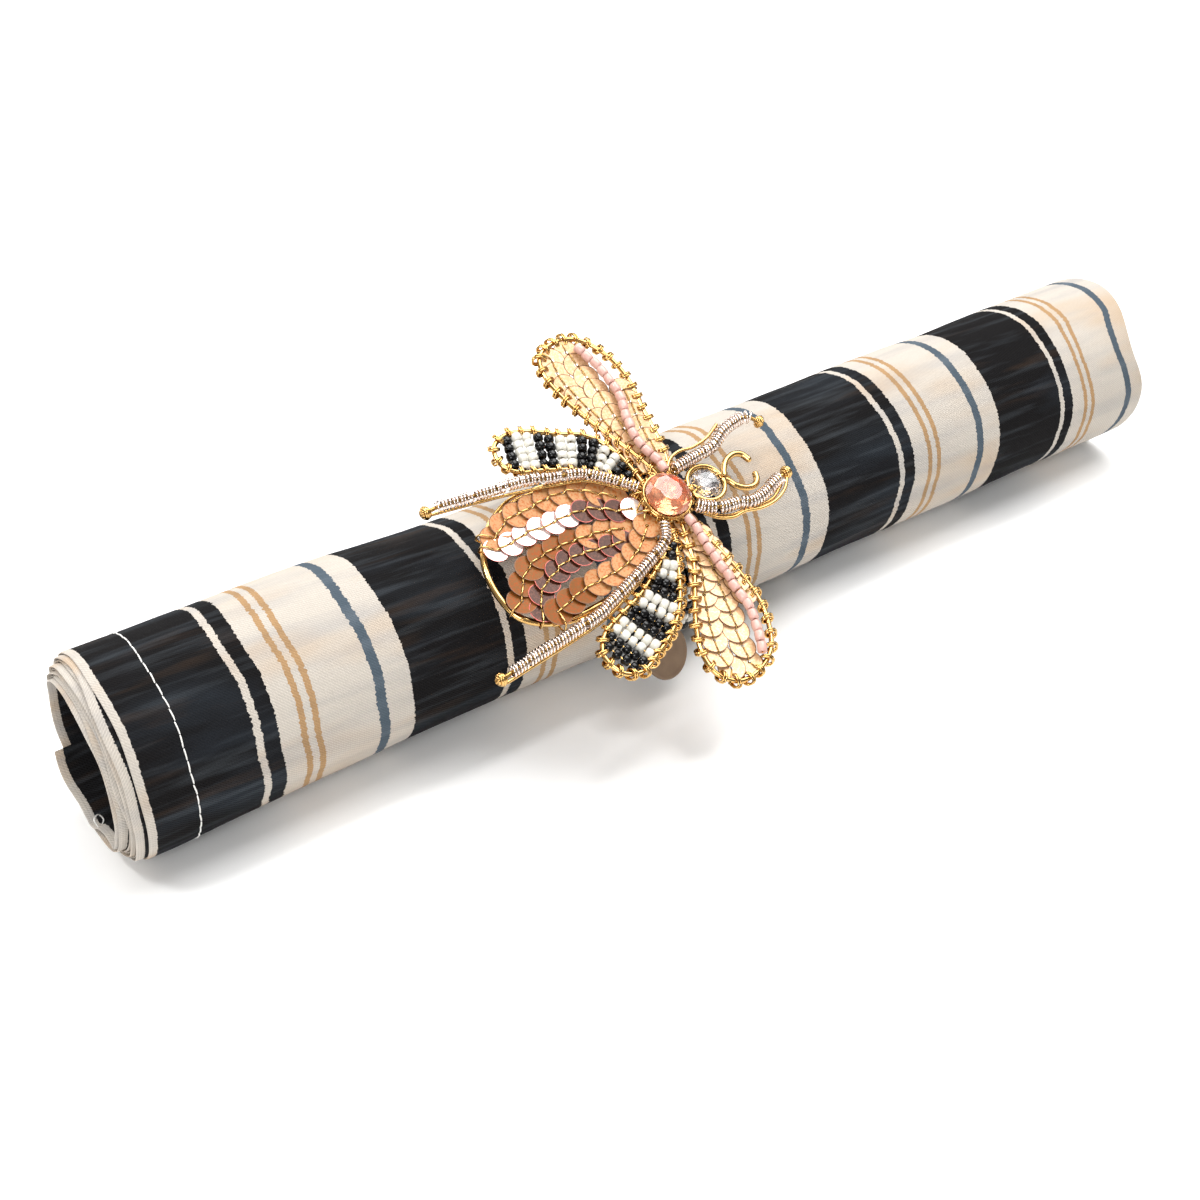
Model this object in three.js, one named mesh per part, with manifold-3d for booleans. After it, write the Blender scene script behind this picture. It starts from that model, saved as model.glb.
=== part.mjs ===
// Cloth napkin rolled up in a beaded ring with an insect on it.
// Millimetres, +Z up. The roll lies along X on the surface Z = 0, with its folded end at +X.
// The origin is on that surface, under the middle of the roll.

import * as THREE from 'three';
import { mergeVertices } from 'three/addons/utils/BufferGeometryUtils.js';
import Module from 'manifold-3d';

const wasm = await Module();
wasm.setup();

const { sin, cos, abs, exp, max, round, PI } = Math;
const { degToRad, lerp, smoothstep, euclideanModulo } = THREE.MathUtils;

// Driving dimensions
const CLOTH_LENGTH = 254;       // a 508 mm square folded in half
const CLOTH_THICKNESS = 1.0;    // the two plies together
const TURN_PITCH = 1.3;         // how far one turn lies inside the next
const ROLL = { radius: 19.65, height: 19.6 };    // at both ends; the radius is that of the visible front
const TWIST = 25;               // degrees that the wound edges wander from the left end to the right
const CLEARANCE = 0.35;         // between two pieces, facets aside

// The wound cloth. Angles are wound degrees, counted from the inner edge outwards:
// 0 is the top, 90 the back, 180 the bottom and 270 the front, and every turn adds 360.
const INNER_EDGE = 115;
const OUTER_EDGE = 1302;
const FIRST_STEP = 117;             // between these two the steps are even
const LAST_STEP = 1269;
const TURN_STEP = 18;
const EDGE_STEPS = 2;               // steps from an edge to the even ones
const LOWEST_OF_OUTER_TURN = 1260;
const FRONT_OF_OUTER_TURN = 1033;

// How far the left edge stands out of the roll as the cloth winds outwards
const LEFT_EDGE = [
  { turn: 0.00, out: 5.0 },
  { turn: 0.15, out: 4.6 },
  { turn: 0.50, out: 3.2 },
  { turn: 0.90, out: 2.3 },
  { turn: 1.45, out: 1.8 },
  { turn: 2.00, out: 1.3 },
  { turn: 2.40, out: 0.0 },
  { turn: 2.75, out: 0.1 },
  { turn: 3.00, out: 0.5 },
  { turn: 3.30, out: 1.2 },
];

// The folded right end isn't square: it reaches furthest at the upper back and dips at the front
const RIGHT_END = { middle: 2.0, slant: 1.2, furthest: 45, dip: 4.2, dipAngle: 308, dipSpread: 29 };

// The ring's band, the waist that it presses into the roll, and the slow narrowing on both sides
const BAND = { x: -12.8, width: 8.8, thickness: 2.2, radius: 18.75, sideways: 0.35, height: 19.2,
  foot: 0.35 };
const WAIST = { flat: 4.8, ease: 6.0, squeeze: 0.75, extraBelow: 1.3 };
const NARROWING = { near: 30, far: 85, radius: 0.75, height: 0.4 };
const WAIST_FOOT = BAND.foot + BAND.thickness + CLEARANCE;
const WAIST_EDGE = WAIST.flat + WAIST.ease;

// Slow bulges of a roll wound by hand: height, waves round the roll, turn per mm along it, and start
const BULGES = [
  { by: 0.22, waves: 2, along: 0.045, start: 0 },
  { by: 0.14, waves: 3, along: -0.07, start: 1 },
];

// Sections of the cloth along the roll: both ends, the waist, and even steps between
const STATIONS = [
  -127, -120, -100, -76, -50,
  BAND.x - WAIST_EDGE, BAND.x - WAIST.flat - WAIST.ease / 2, BAND.x - WAIST.flat,
  BAND.x + WAIST.flat, BAND.x + WAIST.flat + WAIST.ease / 2, BAND.x + WAIST_EDGE,
  24, 50, 76, 102, 121, 127,
];

// The disc hangs at the front of the band, and its lower rim stands away from the roll
const DISC = { x: -19.8, y: -23.15, z: 9.0, radius: 5.8, thickness: 0.8, facing: [0.18, -0.87, 0.455] };

// The insect lies in a plane that leans forward over the roll.
// In that plane u runs towards the head, v towards the upper side and w outwards.
const INSECT = { x: -13.5, y: -13.9, z: 38.9, lean: 29 };
const THORAX = { u: -1.2, v: -0.8 };
const CORE_PROFILE = [[0, -2.9], [6.6, -2.9], [6.6, -1.9], [3.4, -1.9], [3.4, 0.9], [5, 0.9], [5, 1.7],
  [0, 1.7]];
const STONE_PROFILE = [[0, 2], [3.4, 2], [4.75, 2.7], [4.75, 3.2], [3, 4.7], [0, 4.7]];
const HEAD = { u: 8.9, v: -0.8 };
const HEAD_RING = { radius: 4.0, wire: 0.5, w: 1 };
const HEAD_STONE_PROFILE = [[0, 0.1], [2, 0.1], [3.15, 0.9], [3.15, 1.3], [2, 2.4], [0, 2.4]];
const FRAME_WIRE = 0.55;            // radius of the wire that the wings are bent from
const ANTENNA = { radius: 0.55, w: 1 };
const LEG = { radius: 1.1, w: 2.05, knob: 1.45 };
const WING_SEQUINS = { foot: -0.45, thickness: 0.9, root: 0.09 };
const WING_BEADS = { foot: -0.95, thickness: 1.9, root: 0.08 };
const BEAD_STRING = 0.9;
const ABDOMEN_WIRE = -1.05;
const ABDOMEN_SEQUINS = { foot: -0.2, thickness: 0.8 };
const FIELD_INSET = FRAME_WIRE + CLEARANCE;

// Outlines and courses in the insect's plane, as u and v in mm
const foreWings = {
  upper: {
    frame: [[1.6, 2.9], [0.6, 6.5], [-1.4, 12], [-4.2, 18], [-7.6, 26.6], [-8.8, 33.5], [-7.4, 38],
      [-3, 40], [2, 39.3], [6, 34.5], [7.6, 27.6], [6.7, 20], [6, 13], [5, 8.3], [3.4, 4.4]],
    beads: [[0.1, 37], [2.1, 31.7], [2.8, 25], [1.6, 19], [0.6, 14.6], [1.0, 10.2], [2.0, 7.2]],
  },
  lower: {
    frame: [[0.4, -5.1], [-1.3, -9], [-2.9, -14.4], [-6.2, -20], [-9.9, -25.9], [-12.3, -32], [-11.9, -36.8],
      [-8.5, -39.8], [-3.9, -39.5], [0.8, -37], [3.6, -32.5], [5, -27], [4.6, -20], [3.3, -13], [2.2, -8]],
    beads: [[0.8, -8.2], [0.8, -12], [0.9, -16], [1.1, -19.6], [0.9, -23.7], [0.8, -27.3], [-0.5, -31.3],
      [-2.2, -35], [-3, -36.8]],
  },
};
const hindWings = {
  upper: [[-3.4, 3.4], [-3.4, 8.5], [-5.4, 15], [-8.6, 18.5], [-13.5, 20.6], [-18.5, 23.2], [-23.5, 24.2],
    [-27, 22.6], [-27.8, 19], [-25.5, 16], [-20, 14.3], [-14, 12], [-8.8, 8.8], [-5.2, 5]],
  lower: [[-3.1, -5.1], [-5.6, -9.4], [-11.3, -13.3], [-17, -16.5], [-23, -18.7], [-27.7, -20.8],
    [-30.3, -24.5], [-28.8, -29], [-25.3, -30.3], [-20, -28.2], [-15.4, -25.7], [-11.5, -22.3],
    [-8.3, -17.7], [-6, -13.4], [-3.7, -8.6]],
};
const legs = {
  front_leg_upper: [[3.4, 3.9], [5.6, 4.3], [10, 4.9], [14.6, 5.7], [18.4, 7.8], [22, 8.8], [25.4, 9],
    [27.4, 7]],
  front_leg_lower: [[3.2, -4.6], [5.7, -6.2], [9, -7.2], [12.5, -7.4], [15.1, -8.2], [19.2, -7.5],
    [22.9, -6.2], [26, -5.4]],
  hind_leg_upper: [[-5.6, 3.1], [-9.9, 6.8], [-14.6, 10], [-20.5, 11.5], [-26.2, 12.7], [-32.3, 13.3],
    [-38.5, 13.6], [-44.4, 14], [-47.6, 13.7]],
  hind_leg_lower: [[-5.1, -5.6], [-6.8, -8.8], [-11.9, -11.4], [-17.3, -13.7], [-26.7, -17.2],
    [-33, -18.5], [-38.5, -19.4], [-43.2, -20.1], [-51.4, -21.5]],
};
const antennae = {
  antenna_upper: [[14.2, -0.3], [14.6, 0.9], [15.9, 2.1], [18.3, 2.8], [19.9, 2.2], [20.7, 0.6]],
  antenna_lower: [[13.9, -2.4], [14.5, -3.5], [16.2, -4.8], [18.3, -5.1], [19.6, -4.2], [20.1, -2.9]],
};
const abdomen = {
  frame: [[-5.6, -1], [-6.4, -5.6], [-10.2, -10.6], [-16.8, -13.7], [-23.8, -14.7], [-30.6, -15.1],
    [-36.2, -14.2], [-40.6, -10.9], [-42, -5.5], [-41.5, 0], [-39.3, 4.6], [-35.3, 8.4], [-30, 10.6],
    [-24, 11], [-18, 10.4], [-12, 7.6], [-7.6, 3.4]],
  upper: [[-5.6, 0.4], [-7.6, 3.4], [-10.2, 6], [-13, 8.2], [-16.5, 10.1], [-21, 11.6], [-26, 12],
    [-31, 11.2], [-34.8, 9.6], [-37.4, 6.2], [-40.3, 3.6], [-39.8, 0.9], [-35.7, 0.5], [-30.7, 1],
    [-26, 1], [-21.5, 1.6], [-17.9, 1], [-13.8, -0.5], [-10, -1.4], [-6.2, -1.6]],
  lower: [[-5.8, -2.6], [-9.8, -2.4], [-12.6, -1.5], [-16, -0.6], [-20.4, -0.2], [-24.5, 0.1],
    [-28, -0.1], [-31.5, -1], [-35, -2.6], [-38.5, -4.4], [-41.4, -7], [-41.3, -10.1], [-39.2, -13.2],
    [-35.9, -15.4], [-30.4, -15.3], [-24.4, -14.4], [-20.2, -14], [-14.6, -12.6], [-9.9, -10.2],
    [-6.6, -6.8]],
};

// Materials
const cloth = new THREE.MeshStandardMaterial({ color: 0xcfc9bd, roughness: 0.9, metalness: 0 });
const gold = new THREE.MeshStandardMaterial({ color: 0xd9a441, roughness: 0.25, metalness: 1 });
const bullion = new THREE.MeshStandardMaterial({ color: 0xcdb9a3, roughness: 0.3, metalness: 1 });
const bronze = new THREE.MeshStandardMaterial({ color: 0x8a6b4d, roughness: 0.5, metalness: 0.8 });
const peach = new THREE.MeshStandardMaterial({ color: 0xe9a870, roughness: 0.45, metalness: 0.2 });
const rose = new THREE.MeshStandardMaterial({ color: 0xd9a08a, roughness: 0.3, metalness: 0.5 });
const pink = new THREE.MeshStandardMaterial({ color: 0xe8a597, roughness: 0.35, metalness: 0 });
const beads = new THREE.MeshStandardMaterial({ color: 0x6d6a66, roughness: 0.2, metalness: 0 });
const orangeStone = new THREE.MeshStandardMaterial({ color: 0xee7f4d, roughness: 0.08, metalness: 0 });
const clearStone = new THREE.MeshStandardMaterial({ color: 0xe4dcd8, roughness: 0.05, metalness: 0 });

const part = new THREE.Group();
const insect = new THREE.Group();
insect.position.set(INSECT.x, INSECT.y, INSECT.z);
insect.rotation.x = degToRad(INSECT.lean);
part.add(insect);

function add(parent, name, geometry, material) {
  const mesh = new THREE.Mesh(geometry, material);
  mesh.name = name;
  parent.add(mesh);
}

// One closed mesh whose shared vertices are merged
function welded(geometry) {
  geometry.deleteAttribute('normal');
  geometry.deleteAttribute('uv');
  return mergeVertices(geometry, 1e-4);
}

function joined(first, second) {
  const solids = [first, second].map((geometry) => {
    const closed = welded(geometry);
    return new wasm.Manifold(new wasm.Mesh({
      numProp: 3,
      vertProperties: new Float32Array(closed.attributes.position.array),
      triVerts: new Uint32Array(closed.index.array),
    }));
  });
  const mesh = solids[0].add(solids[1]).getMesh();
  const geometry = new THREE.BufferGeometry();
  geometry.setAttribute('position', new THREE.BufferAttribute(new Float32Array(mesh.vertProperties), 3));
  geometry.setIndex(Array.from(mesh.triVerts));
  return geometry;
}

// The napkin

function leftEdgeOut(turn) {
  const upper = LEFT_EDGE.find((row) => row.turn >= turn) ?? LEFT_EDGE.at(-1);
  const lower = LEFT_EDGE[max(LEFT_EDGE.indexOf(upper) - 1, 0)];
  return lerp(lower.out, upper.out, smoothstep(turn, lower.turn, upper.turn));
}

function rightEndOut(angle) {
  const fromDip = euclideanModulo(angle - RIGHT_END.dipAngle + 180, 360) - 180;
  const slant = RIGHT_END.slant * cos(degToRad(angle - RIGHT_END.furthest));
  return RIGHT_END.middle + slant - RIGHT_END.dip * exp(-((fromDip / RIGHT_END.dipSpread) ** 2));
}

// Wound angle of one column of the cloth, where both long edges follow the twist
const EVEN_STEPS = (LAST_STEP - FIRST_STEP) / TURN_STEP;
const COLUMNS = EDGE_STEPS + EVEN_STEPS + EDGE_STEPS;

function woundAngle(column, x) {
  const twist = TWIST * (x / CLOTH_LENGTH + 0.5);
  if (column < EDGE_STEPS) return lerp(INNER_EDGE - twist, FIRST_STEP, column / EDGE_STEPS);
  const step = column - EDGE_STEPS;
  if (step <= EVEN_STEPS) return FIRST_STEP + TURN_STEP * step;
  return lerp(LAST_STEP, OUTER_EDGE - twist, (step - EVEN_STEPS) / EDGE_STEPS);
}

function waist(x) {
  return 1 - smoothstep(abs(x - BAND.x), WAIST.flat, WAIST_EDGE);
}

function narrowing(x) {
  return 1 - smoothstep(abs(x - BAND.x), NARROWING.near, NARROWING.far);
}

// Alike for every turn, so that the turns stay apart
function bulge(side, x) {
  const sum = BULGES.reduce((total, { by, waves, along, start }) =>
    total + by * sin(waves * side + along * x + start), 0);
  return sum * (1 - waist(x));
}

function napkin() {
  const sections = STATIONS.length - 1;
  const geometry = new THREE.BoxGeometry(sections, COLUMNS, 1, sections, COLUMNS, 1);
  const points = geometry.attributes.position;
  const outermost = ROLL.radius + TURN_PITCH * (OUTER_EDGE - FRONT_OF_OUTER_TURN) / 360;
  for (let i = 0; i < points.count; i++) {
    const section = round(points.getX(i) + sections / 2);
    const column = round(points.getY(i) + COLUMNS / 2);
    const inner = points.getZ(i) < 0 ? CLOTH_THICKNESS : 0;
    const along = STATIONS[section];
    const angle = woundAngle(column, along);
    const side = degToRad(angle);
    const narrow = narrowing(along);
    const below = ((1 - cos(side)) / 2) ** 2;
    const pressed = waist(along) * (WAIST.squeeze + WAIST.extraBelow * below) + narrow * NARROWING.radius;
    const depth = TURN_PITCH * (OUTER_EDGE - angle) / 360 + inner;
    const radius = outermost - depth - pressed + bulge(side, along);
    const turnsOutside = round((LOWEST_OF_OUTER_TURN - angle) / 360);
    const foot = TURN_PITCH * turnsOutside + inner + WAIST_FOOT * waist(along);
    const axis = ROLL.height - narrow * NARROWING.height;
    const atEnd = section === 0 || section === sections;
    let x = along - (atEnd ? leftEdgeOut((angle - INNER_EDGE) / 360) : 0);
    if (section === sections) x += rightEndOut(angle);
    points.setXYZ(i, x, radius * sin(side), max(axis + radius * cos(side), foot));
  }
  return welded(geometry);
}

// The ring's band, pressed flat under the roll like the cloth

function bandOutline(radius, foot) {
  const steps = 36;
  return Array.from({ length: steps }, (_, i) => {
    const side = (2 * PI * (i + 0.5)) / steps;
    const z = max(BAND.height - radius * cos(side), foot);
    return new THREE.Vector2(BAND.sideways + radius * sin(side), z);
  });
}

function ringBand() {
  const shape = new THREE.Shape(bandOutline(BAND.radius + BAND.thickness, BAND.foot));
  shape.holes.push(new THREE.Path(bandOutline(BAND.radius, BAND.foot + BAND.thickness)));
  const geometry = new THREE.ExtrudeGeometry(shape, { depth: BAND.width, bevelEnabled: false });
  // The outline is drawn in Y and Z, so its own axes turn to Y, Z and X
  geometry.applyMatrix4(new THREE.Matrix4().makeBasis(
    new THREE.Vector3(0, 1, 0), new THREE.Vector3(0, 0, 1), new THREE.Vector3(1, 0, 0)));
  geometry.translate(BAND.x - BAND.width / 2, 0, 0);
  return welded(geometry);
}

function ringDisc() {
  const geometry = new THREE.CylinderGeometry(DISC.radius, DISC.radius, DISC.thickness, 32);
  const facing = new THREE.Vector3(...DISC.facing).normalize();
  geometry.applyQuaternion(new THREE.Quaternion().setFromUnitVectors(new THREE.Vector3(0, 1, 0), facing));
  geometry.translate(DISC.x, DISC.y, DISC.z);
  return welded(geometry);
}

// Pieces of the insect, in its own plane

function curveThrough(points, closed, w = 0) {
  const path = points.map(([u, v]) => new THREE.Vector3(u, v, w));
  return new THREE.CatmullRomCurve3(path, closed, 'centripetal');
}

function wireLoop(points, w) {
  return welded(new THREE.TubeGeometry(curveThrough(points, true, w), 34, FRAME_WIRE, 6, true));
}

function rod(points, w, radius, steps) {
  const section = new THREE.Shape();
  section.absarc(0, 0, radius, 0, 2 * PI);
  const extrudePath = curveThrough(points, false, w);
  const options = { steps, curveSegments: 3, bevelEnabled: false, extrudePath };
  return welded(new THREE.ExtrudeGeometry(section, options));
}

function leg(points) {
  const knob = new THREE.IcosahedronGeometry(LEG.knob, 1);
  const [u, v] = points.at(-1);
  knob.translate(u, v, LEG.w);
  return joined(rod(points, LEG.w, LEG.radius, 16), knob);
}

// A flat field inside a loop: the loop's own curve, moved in, without the narrow root
function fieldInside(points, { root }) {
  const steps = 26;
  const curve = curveThrough(points, true);
  const inwards = THREE.ShapeUtils.area(curve.getSpacedPoints(60)) > 0 ? FIELD_INSET : -FIELD_INSET;
  return Array.from({ length: steps + 1 }, (_, i) => {
    const share = lerp(root, 1 - root, i / steps);
    const here = curve.getPointAt(share);
    const along = curve.getTangentAt(share);
    return new THREE.Vector2(here.x - along.y * inwards, here.y + along.x * inwards);
  });
}

function plate(outline, { foot, thickness }) {
  const options = { depth: thickness, bevelEnabled: false };
  const geometry = new THREE.ExtrudeGeometry(new THREE.Shape(outline), options);
  geometry.translate(0, 0, foot);
  return welded(geometry);
}

// A turned solid from rows of radius and height, closed on the axis
function turned(rows, segments, { u, v }) {
  const geometry = new THREE.LatheGeometry(rows.map(([r, w]) => new THREE.Vector2(r, w)), segments);
  geometry.rotateX(PI / 2);
  geometry.translate(u, v, 0);
  return welded(geometry);
}

function headRing() {
  const geometry = new THREE.TorusGeometry(HEAD_RING.radius, HEAD_RING.wire, 6, 24);
  geometry.translate(HEAD.u, HEAD.v, HEAD_RING.w);
  return welded(geometry);
}

add(part, 'napkin', napkin(), cloth);
add(part, 'ring_band', ringBand(), beads);
add(part, 'ring_disc', ringDisc(), bronze);

add(insect, 'thorax_core', turned(CORE_PROFILE, 24, THORAX), gold);
add(insect, 'thorax_stone', turned(STONE_PROFILE, 16, THORAX), orangeStone);
add(insect, 'head_ring', headRing(), gold);
add(insect, 'head_stone', turned(HEAD_STONE_PROFILE, 16, HEAD), clearStone);

for (const [name, points] of Object.entries(antennae)) {
  add(insect, name, rod(points, ANTENNA.w, ANTENNA.radius, 12), gold);
}
for (const [name, points] of Object.entries(legs)) {
  add(insect, name, leg(points), bullion);
}
for (const [side, wing] of Object.entries(foreWings)) {
  const name = `fore_wing_${side}`;
  add(insect, `${name}_frame`, wireLoop(wing.frame, 0), gold);
  add(insect, `${name}_sequins`, plate(fieldInside(wing.frame, WING_SEQUINS), WING_SEQUINS), peach);
  const overSequins = WING_SEQUINS.foot + WING_SEQUINS.thickness + CLEARANCE + BEAD_STRING;
  add(insect, `${name}_beads`, rod(wing.beads, overSequins, BEAD_STRING, 12), pink);
}
for (const [side, points] of Object.entries(hindWings)) {
  const name = `hind_wing_${side}`;
  add(insect, `${name}_frame`, wireLoop(points, 0), gold);
  add(insect, `${name}_beads`, plate(fieldInside(points, WING_BEADS), WING_BEADS), beads);
}
add(insect, 'abdomen_frame', wireLoop(abdomen.frame, ABDOMEN_WIRE), gold);
for (const side of ['upper', 'lower']) {
  const outline = abdomen[side].map(([u, v]) => new THREE.Vector2(u, v));
  add(insect, `abdomen_${side}_sequins`, plate(outline, ABDOMEN_SEQUINS), rose);
}

export default part;
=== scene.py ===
# %% [markdown]
# # A cloth napkin in a beaded ring
#
# A cotton napkin is folded in half, wound into a hollow roll and pushed through a ring of seed beads.
# The ring carries an insect of gold wire, sequins, beads and two stones. The imported model gives every
# piece its place, so the scene starts by loading it.

import bisect
import math
import random

import bmesh
import bpy
from mathutils import Matrix, Vector, noise


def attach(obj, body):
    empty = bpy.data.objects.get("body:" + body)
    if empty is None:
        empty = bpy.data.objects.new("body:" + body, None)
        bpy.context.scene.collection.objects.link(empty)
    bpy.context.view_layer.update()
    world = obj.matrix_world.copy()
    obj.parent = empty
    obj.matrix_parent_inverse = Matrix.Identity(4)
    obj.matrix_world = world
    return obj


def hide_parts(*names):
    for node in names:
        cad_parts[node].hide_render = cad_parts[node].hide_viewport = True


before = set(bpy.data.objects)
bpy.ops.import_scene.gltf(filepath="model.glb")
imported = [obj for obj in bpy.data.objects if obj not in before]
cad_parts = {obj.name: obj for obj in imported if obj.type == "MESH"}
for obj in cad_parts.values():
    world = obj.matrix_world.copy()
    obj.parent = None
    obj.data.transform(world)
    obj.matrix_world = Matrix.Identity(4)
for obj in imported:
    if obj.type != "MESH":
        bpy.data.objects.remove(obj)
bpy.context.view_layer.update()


# %% Two helpers for objects and meshes
def add_object(name, data):
    added = bpy.data.objects.new(name, data)
    bpy.context.scene.collection.objects.link(added)
    return added


def template(made, name):
    data = bpy.data.meshes.new(name)
    made.to_mesh(data)
    made.free()
    return data


# %% [markdown]
# ## Camera
#
# The photograph looks down on the roll from the front left. A normal lens close to the roll gives the
# same narrowing towards the far end.

# %% Camera
LENS, SENSOR_WIDTH, NEAREST = 48, 36, 0.01
CAMERA_PLACE = (-0.17637, -0.22151, 0.21070)
PITCH_DOWN, YAW_RIGHT = 36.795, 35.280

camera = add_object("camera", bpy.data.cameras.new("camera"))
camera.data.lens = LENS
camera.data.sensor_width = SENSOR_WIDTH
camera.data.clip_start = NEAREST
camera.location = CAMERA_PLACE
camera.rotation_euler = (math.radians(90 - PITCH_DOWN), 0, math.radians(-YAW_RIGHT))
bpy.context.scene.camera = camera

# %% [markdown]
# ## Table and light
#
# The roll lies on a plain pale table. A broad lamp above gives the soft shadow, and weaker ones behind
# and at the front left fill it. Metal needs something darker to reflect as well, so the surroundings are
# dimmer than the lamps, and darkest a little above the horizon.

# %% Table top
TABLE_REACH = 3
table_mesh = bmesh.new()
bmesh.ops.create_grid(table_mesh, x_segments=1, y_segments=1, size=TABLE_REACH)
table = add_object("table_top", template(table_mesh, "table_top"))

# %% Lamps and surroundings
LAMPS = [
    # name, place, width, watts
    ("lamp_above", (0.45, 0.15, 1.1), 1.1, 22),
    ("lamp_behind", (-0.4, 1.0, 0.6), 0.7, 6),
    ("lamp_front_left", (-0.85, -0.8, 0.75), 0.5, 8.5),
    ("lamp_glints", (-0.55, 0.1, 0.95), 0.14, 3),
]
# height from the horizon, 0, to straight up, 1, and the grey there
SURROUNDINGS = [(0.0, 0.46), (0.12, 0.40), (0.30, 0.14), (1.0, 0.56)]
WARM_GREY = (1, 0.99, 0.97)

for name, place, width, watts in LAMPS:
    light = bpy.data.lights.new(name, "AREA")
    light.shape, light.size, light.energy = "SQUARE", width, watts
    lamp = add_object(name, light)
    lamp.location = place
    lamp.rotation_euler = (-Vector(place)).to_track_quat("-Z", "Y").to_euler()

studio = bpy.data.worlds.new("studio")
studio.use_nodes = True
sky = studio.node_tree
direction = sky.nodes.new("ShaderNodeTexCoord")
height = sky.nodes.new("ShaderNodeSeparateXYZ")
brightness = sky.nodes.new("ShaderNodeValToRGB")
for place, _ in SURROUNDINGS[1:-1]:
    brightness.color_ramp.elements.new(place)
for element, (_, grey) in zip(brightness.color_ramp.elements, SURROUNDINGS):
    element.color = (*(share * grey for share in WARM_GREY), 1)
sky.links.new(direction.outputs["Generated"], height.inputs[0])
sky.links.new(height.outputs["Z"], brightness.inputs[0])
sky.links.new(brightness.outputs[0], sky.nodes["Background"].inputs["Color"])
bpy.context.scene.world = studio
bpy.context.scene.view_settings.view_transform = "Standard"

# %% [markdown]
# ## Shader arithmetic
#
# A finish is easier to read as a formula than as a picture of nodes. `Value` wraps a socket, so that
# `1 - mask` or `a * b` adds the Math node for it. `Finish` holds one material, and its `node` method
# makes any other node from its type, settings and inputs.


# %% Values and finishes
class Value:
    def __init__(self, finish, output):
        self.finish = finish
        self.output = output

    def maths(self, operation, *others):
        inputs = dict(enumerate((self, *others)))
        return self.finish.node("Math", {"operation": operation}, inputs)

    def __add__(self, other):
        return self.maths("ADD", other)

    __radd__ = __add__

    def __sub__(self, other):
        return self.maths("SUBTRACT", other)

    def __rsub__(self, other):
        return (self * -1) + other

    def __mul__(self, other):
        return self.maths("MULTIPLY", other)

    __rmul__ = __mul__


class Finish:
    def __init__(self, name):
        self.material = bpy.data.materials.new(name)
        self.material.use_nodes = True
        self.tree = self.material.node_tree
        self.shader = self.tree.nodes["Principled BSDF"]

    def put(self, socket, value):
        if isinstance(value, Value):
            self.tree.links.new(value.output, socket)
        elif isinstance(value, tuple) and socket.type == "RGBA":
            socket.default_value = (*value, 1)
        else:
            socket.default_value = value

    def node(self, kind, settings, inputs, output=0):
        """A node of any kind. The stops of a ramp are its interpolation and (place, colour) pairs."""
        made = self.tree.nodes.new("ShaderNode" + kind)
        for name, value in settings.items():
            if name == "stops":
                self.set_stops(made.color_ramp, *value)
            else:
                setattr(made, name, value)
        for name, value in inputs.items():
            self.put(made.inputs[name], value)
        return Value(self, made.outputs[output])

    def set_stops(self, ramp, interpolation, stops):
        ramp.interpolation = interpolation
        while len(ramp.elements) < len(stops):
            ramp.elements.new(1)
        for element, (place, colour) in zip(ramp.elements, stops):
            element.position = place
            element.color = (*colour, 1)

    def place(self, stretch=(1, 1, 1), uv=False):
        """The piece's own coordinates, or the cloth's flat ones, in metres and stretched."""
        if uv:
            source = self.node("UVMap", {"uv_map": "cloth"}, {})
        else:
            source = self.node("TexCoord", {}, {}, "Object")
        return self.node("Mapping", {}, {"Vector": source, "Scale": stretch})

    def part(self, place, axis):
        return self.node("SeparateXYZ", {}, {0: place}, axis)

    def noise(self, place, scale, detail=2.0):
        return self.node("TexNoise", {}, {"Vector": place, "Scale": scale, "Detail": detail})

    def mix(self, factor, low, high):
        return self.node("Mix", {"data_type": "RGBA"}, {0: factor, 6: low, 7: high}, 2)

    def ramp(self, factor, interpolation, stops):
        return self.node("ValToRGB", {"stops": (interpolation, stops)}, {0: factor})

    def mask(self, factor, low, high):
        """Black up to low, white from high."""
        return self.ramp(factor, "LINEAR", [(low, (0, 0, 0)), (high, (1, 1, 1))])

    def between(self, factor, low, high):
        inputs = {"Value": factor, "To Min": low, "To Max": high}
        return self.node("MapRange", {}, inputs)

    def relief(self, height, depth, strength=1.0):
        inputs = {"Height": height, "Distance": depth, "Strength": strength}
        return self.node("Bump", {}, inputs)

    def surface(self, **values):
        for name, value in values.items():
            self.put(self.shader.inputs[name.replace("_", " ")], value)
        return self.material


# %% [markdown]
# ## Finishes
#
# Gold wire is polished but drawn through a die, so it shows faint lines and a slightly uneven gloss.
# The coiled wire of the legs is paler. Sequins are stamped from plastic foil: some satin, some like a
# mirror, and the peach and rust ones have a dark brown rim that is partly painted shade. Seed beads are
# pressed glass, and the stones are clear glass with flat facets, with lighter patches painted as glints.
# Nearly all of them are two close tones in patches, with a finer grain in the gloss and the relief.


# %% Table finish
def table_finish():
    finish = Finish("pale_table")
    mottled = finish.noise(finish.place(), 40)
    colour = finish.mix(mottled, (0.90, 0.90, 0.895), (0.93, 0.93, 0.925))
    return finish.surface(Base_Color=colour, Roughness=0.75)


table.data.materials.append(table_finish())


# %% Metal and glass finishes
def two_tone(name, tones, patches, grain, roughness, relief, **sockets):
    """patches and grain are the scale and detail of a noise. relief is its depth and strength."""
    finish = Finish(name)
    place = finish.place()
    tone, wear = finish.noise(place, *patches), finish.noise(place, *grain)
    return finish.surface(
        Base_Color=finish.mix(tone, *tones),
        Roughness=finish.between(wear, *roughness),
        Normal=finish.relief(wear, *relief),
        **sockets,
    )


def metal(name, dark, light, *roughness):
    return two_tone(name, (dark, light), (380,), (1500, 3), roughness, (0.00001, 0.5), Metallic=1.0)


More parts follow.
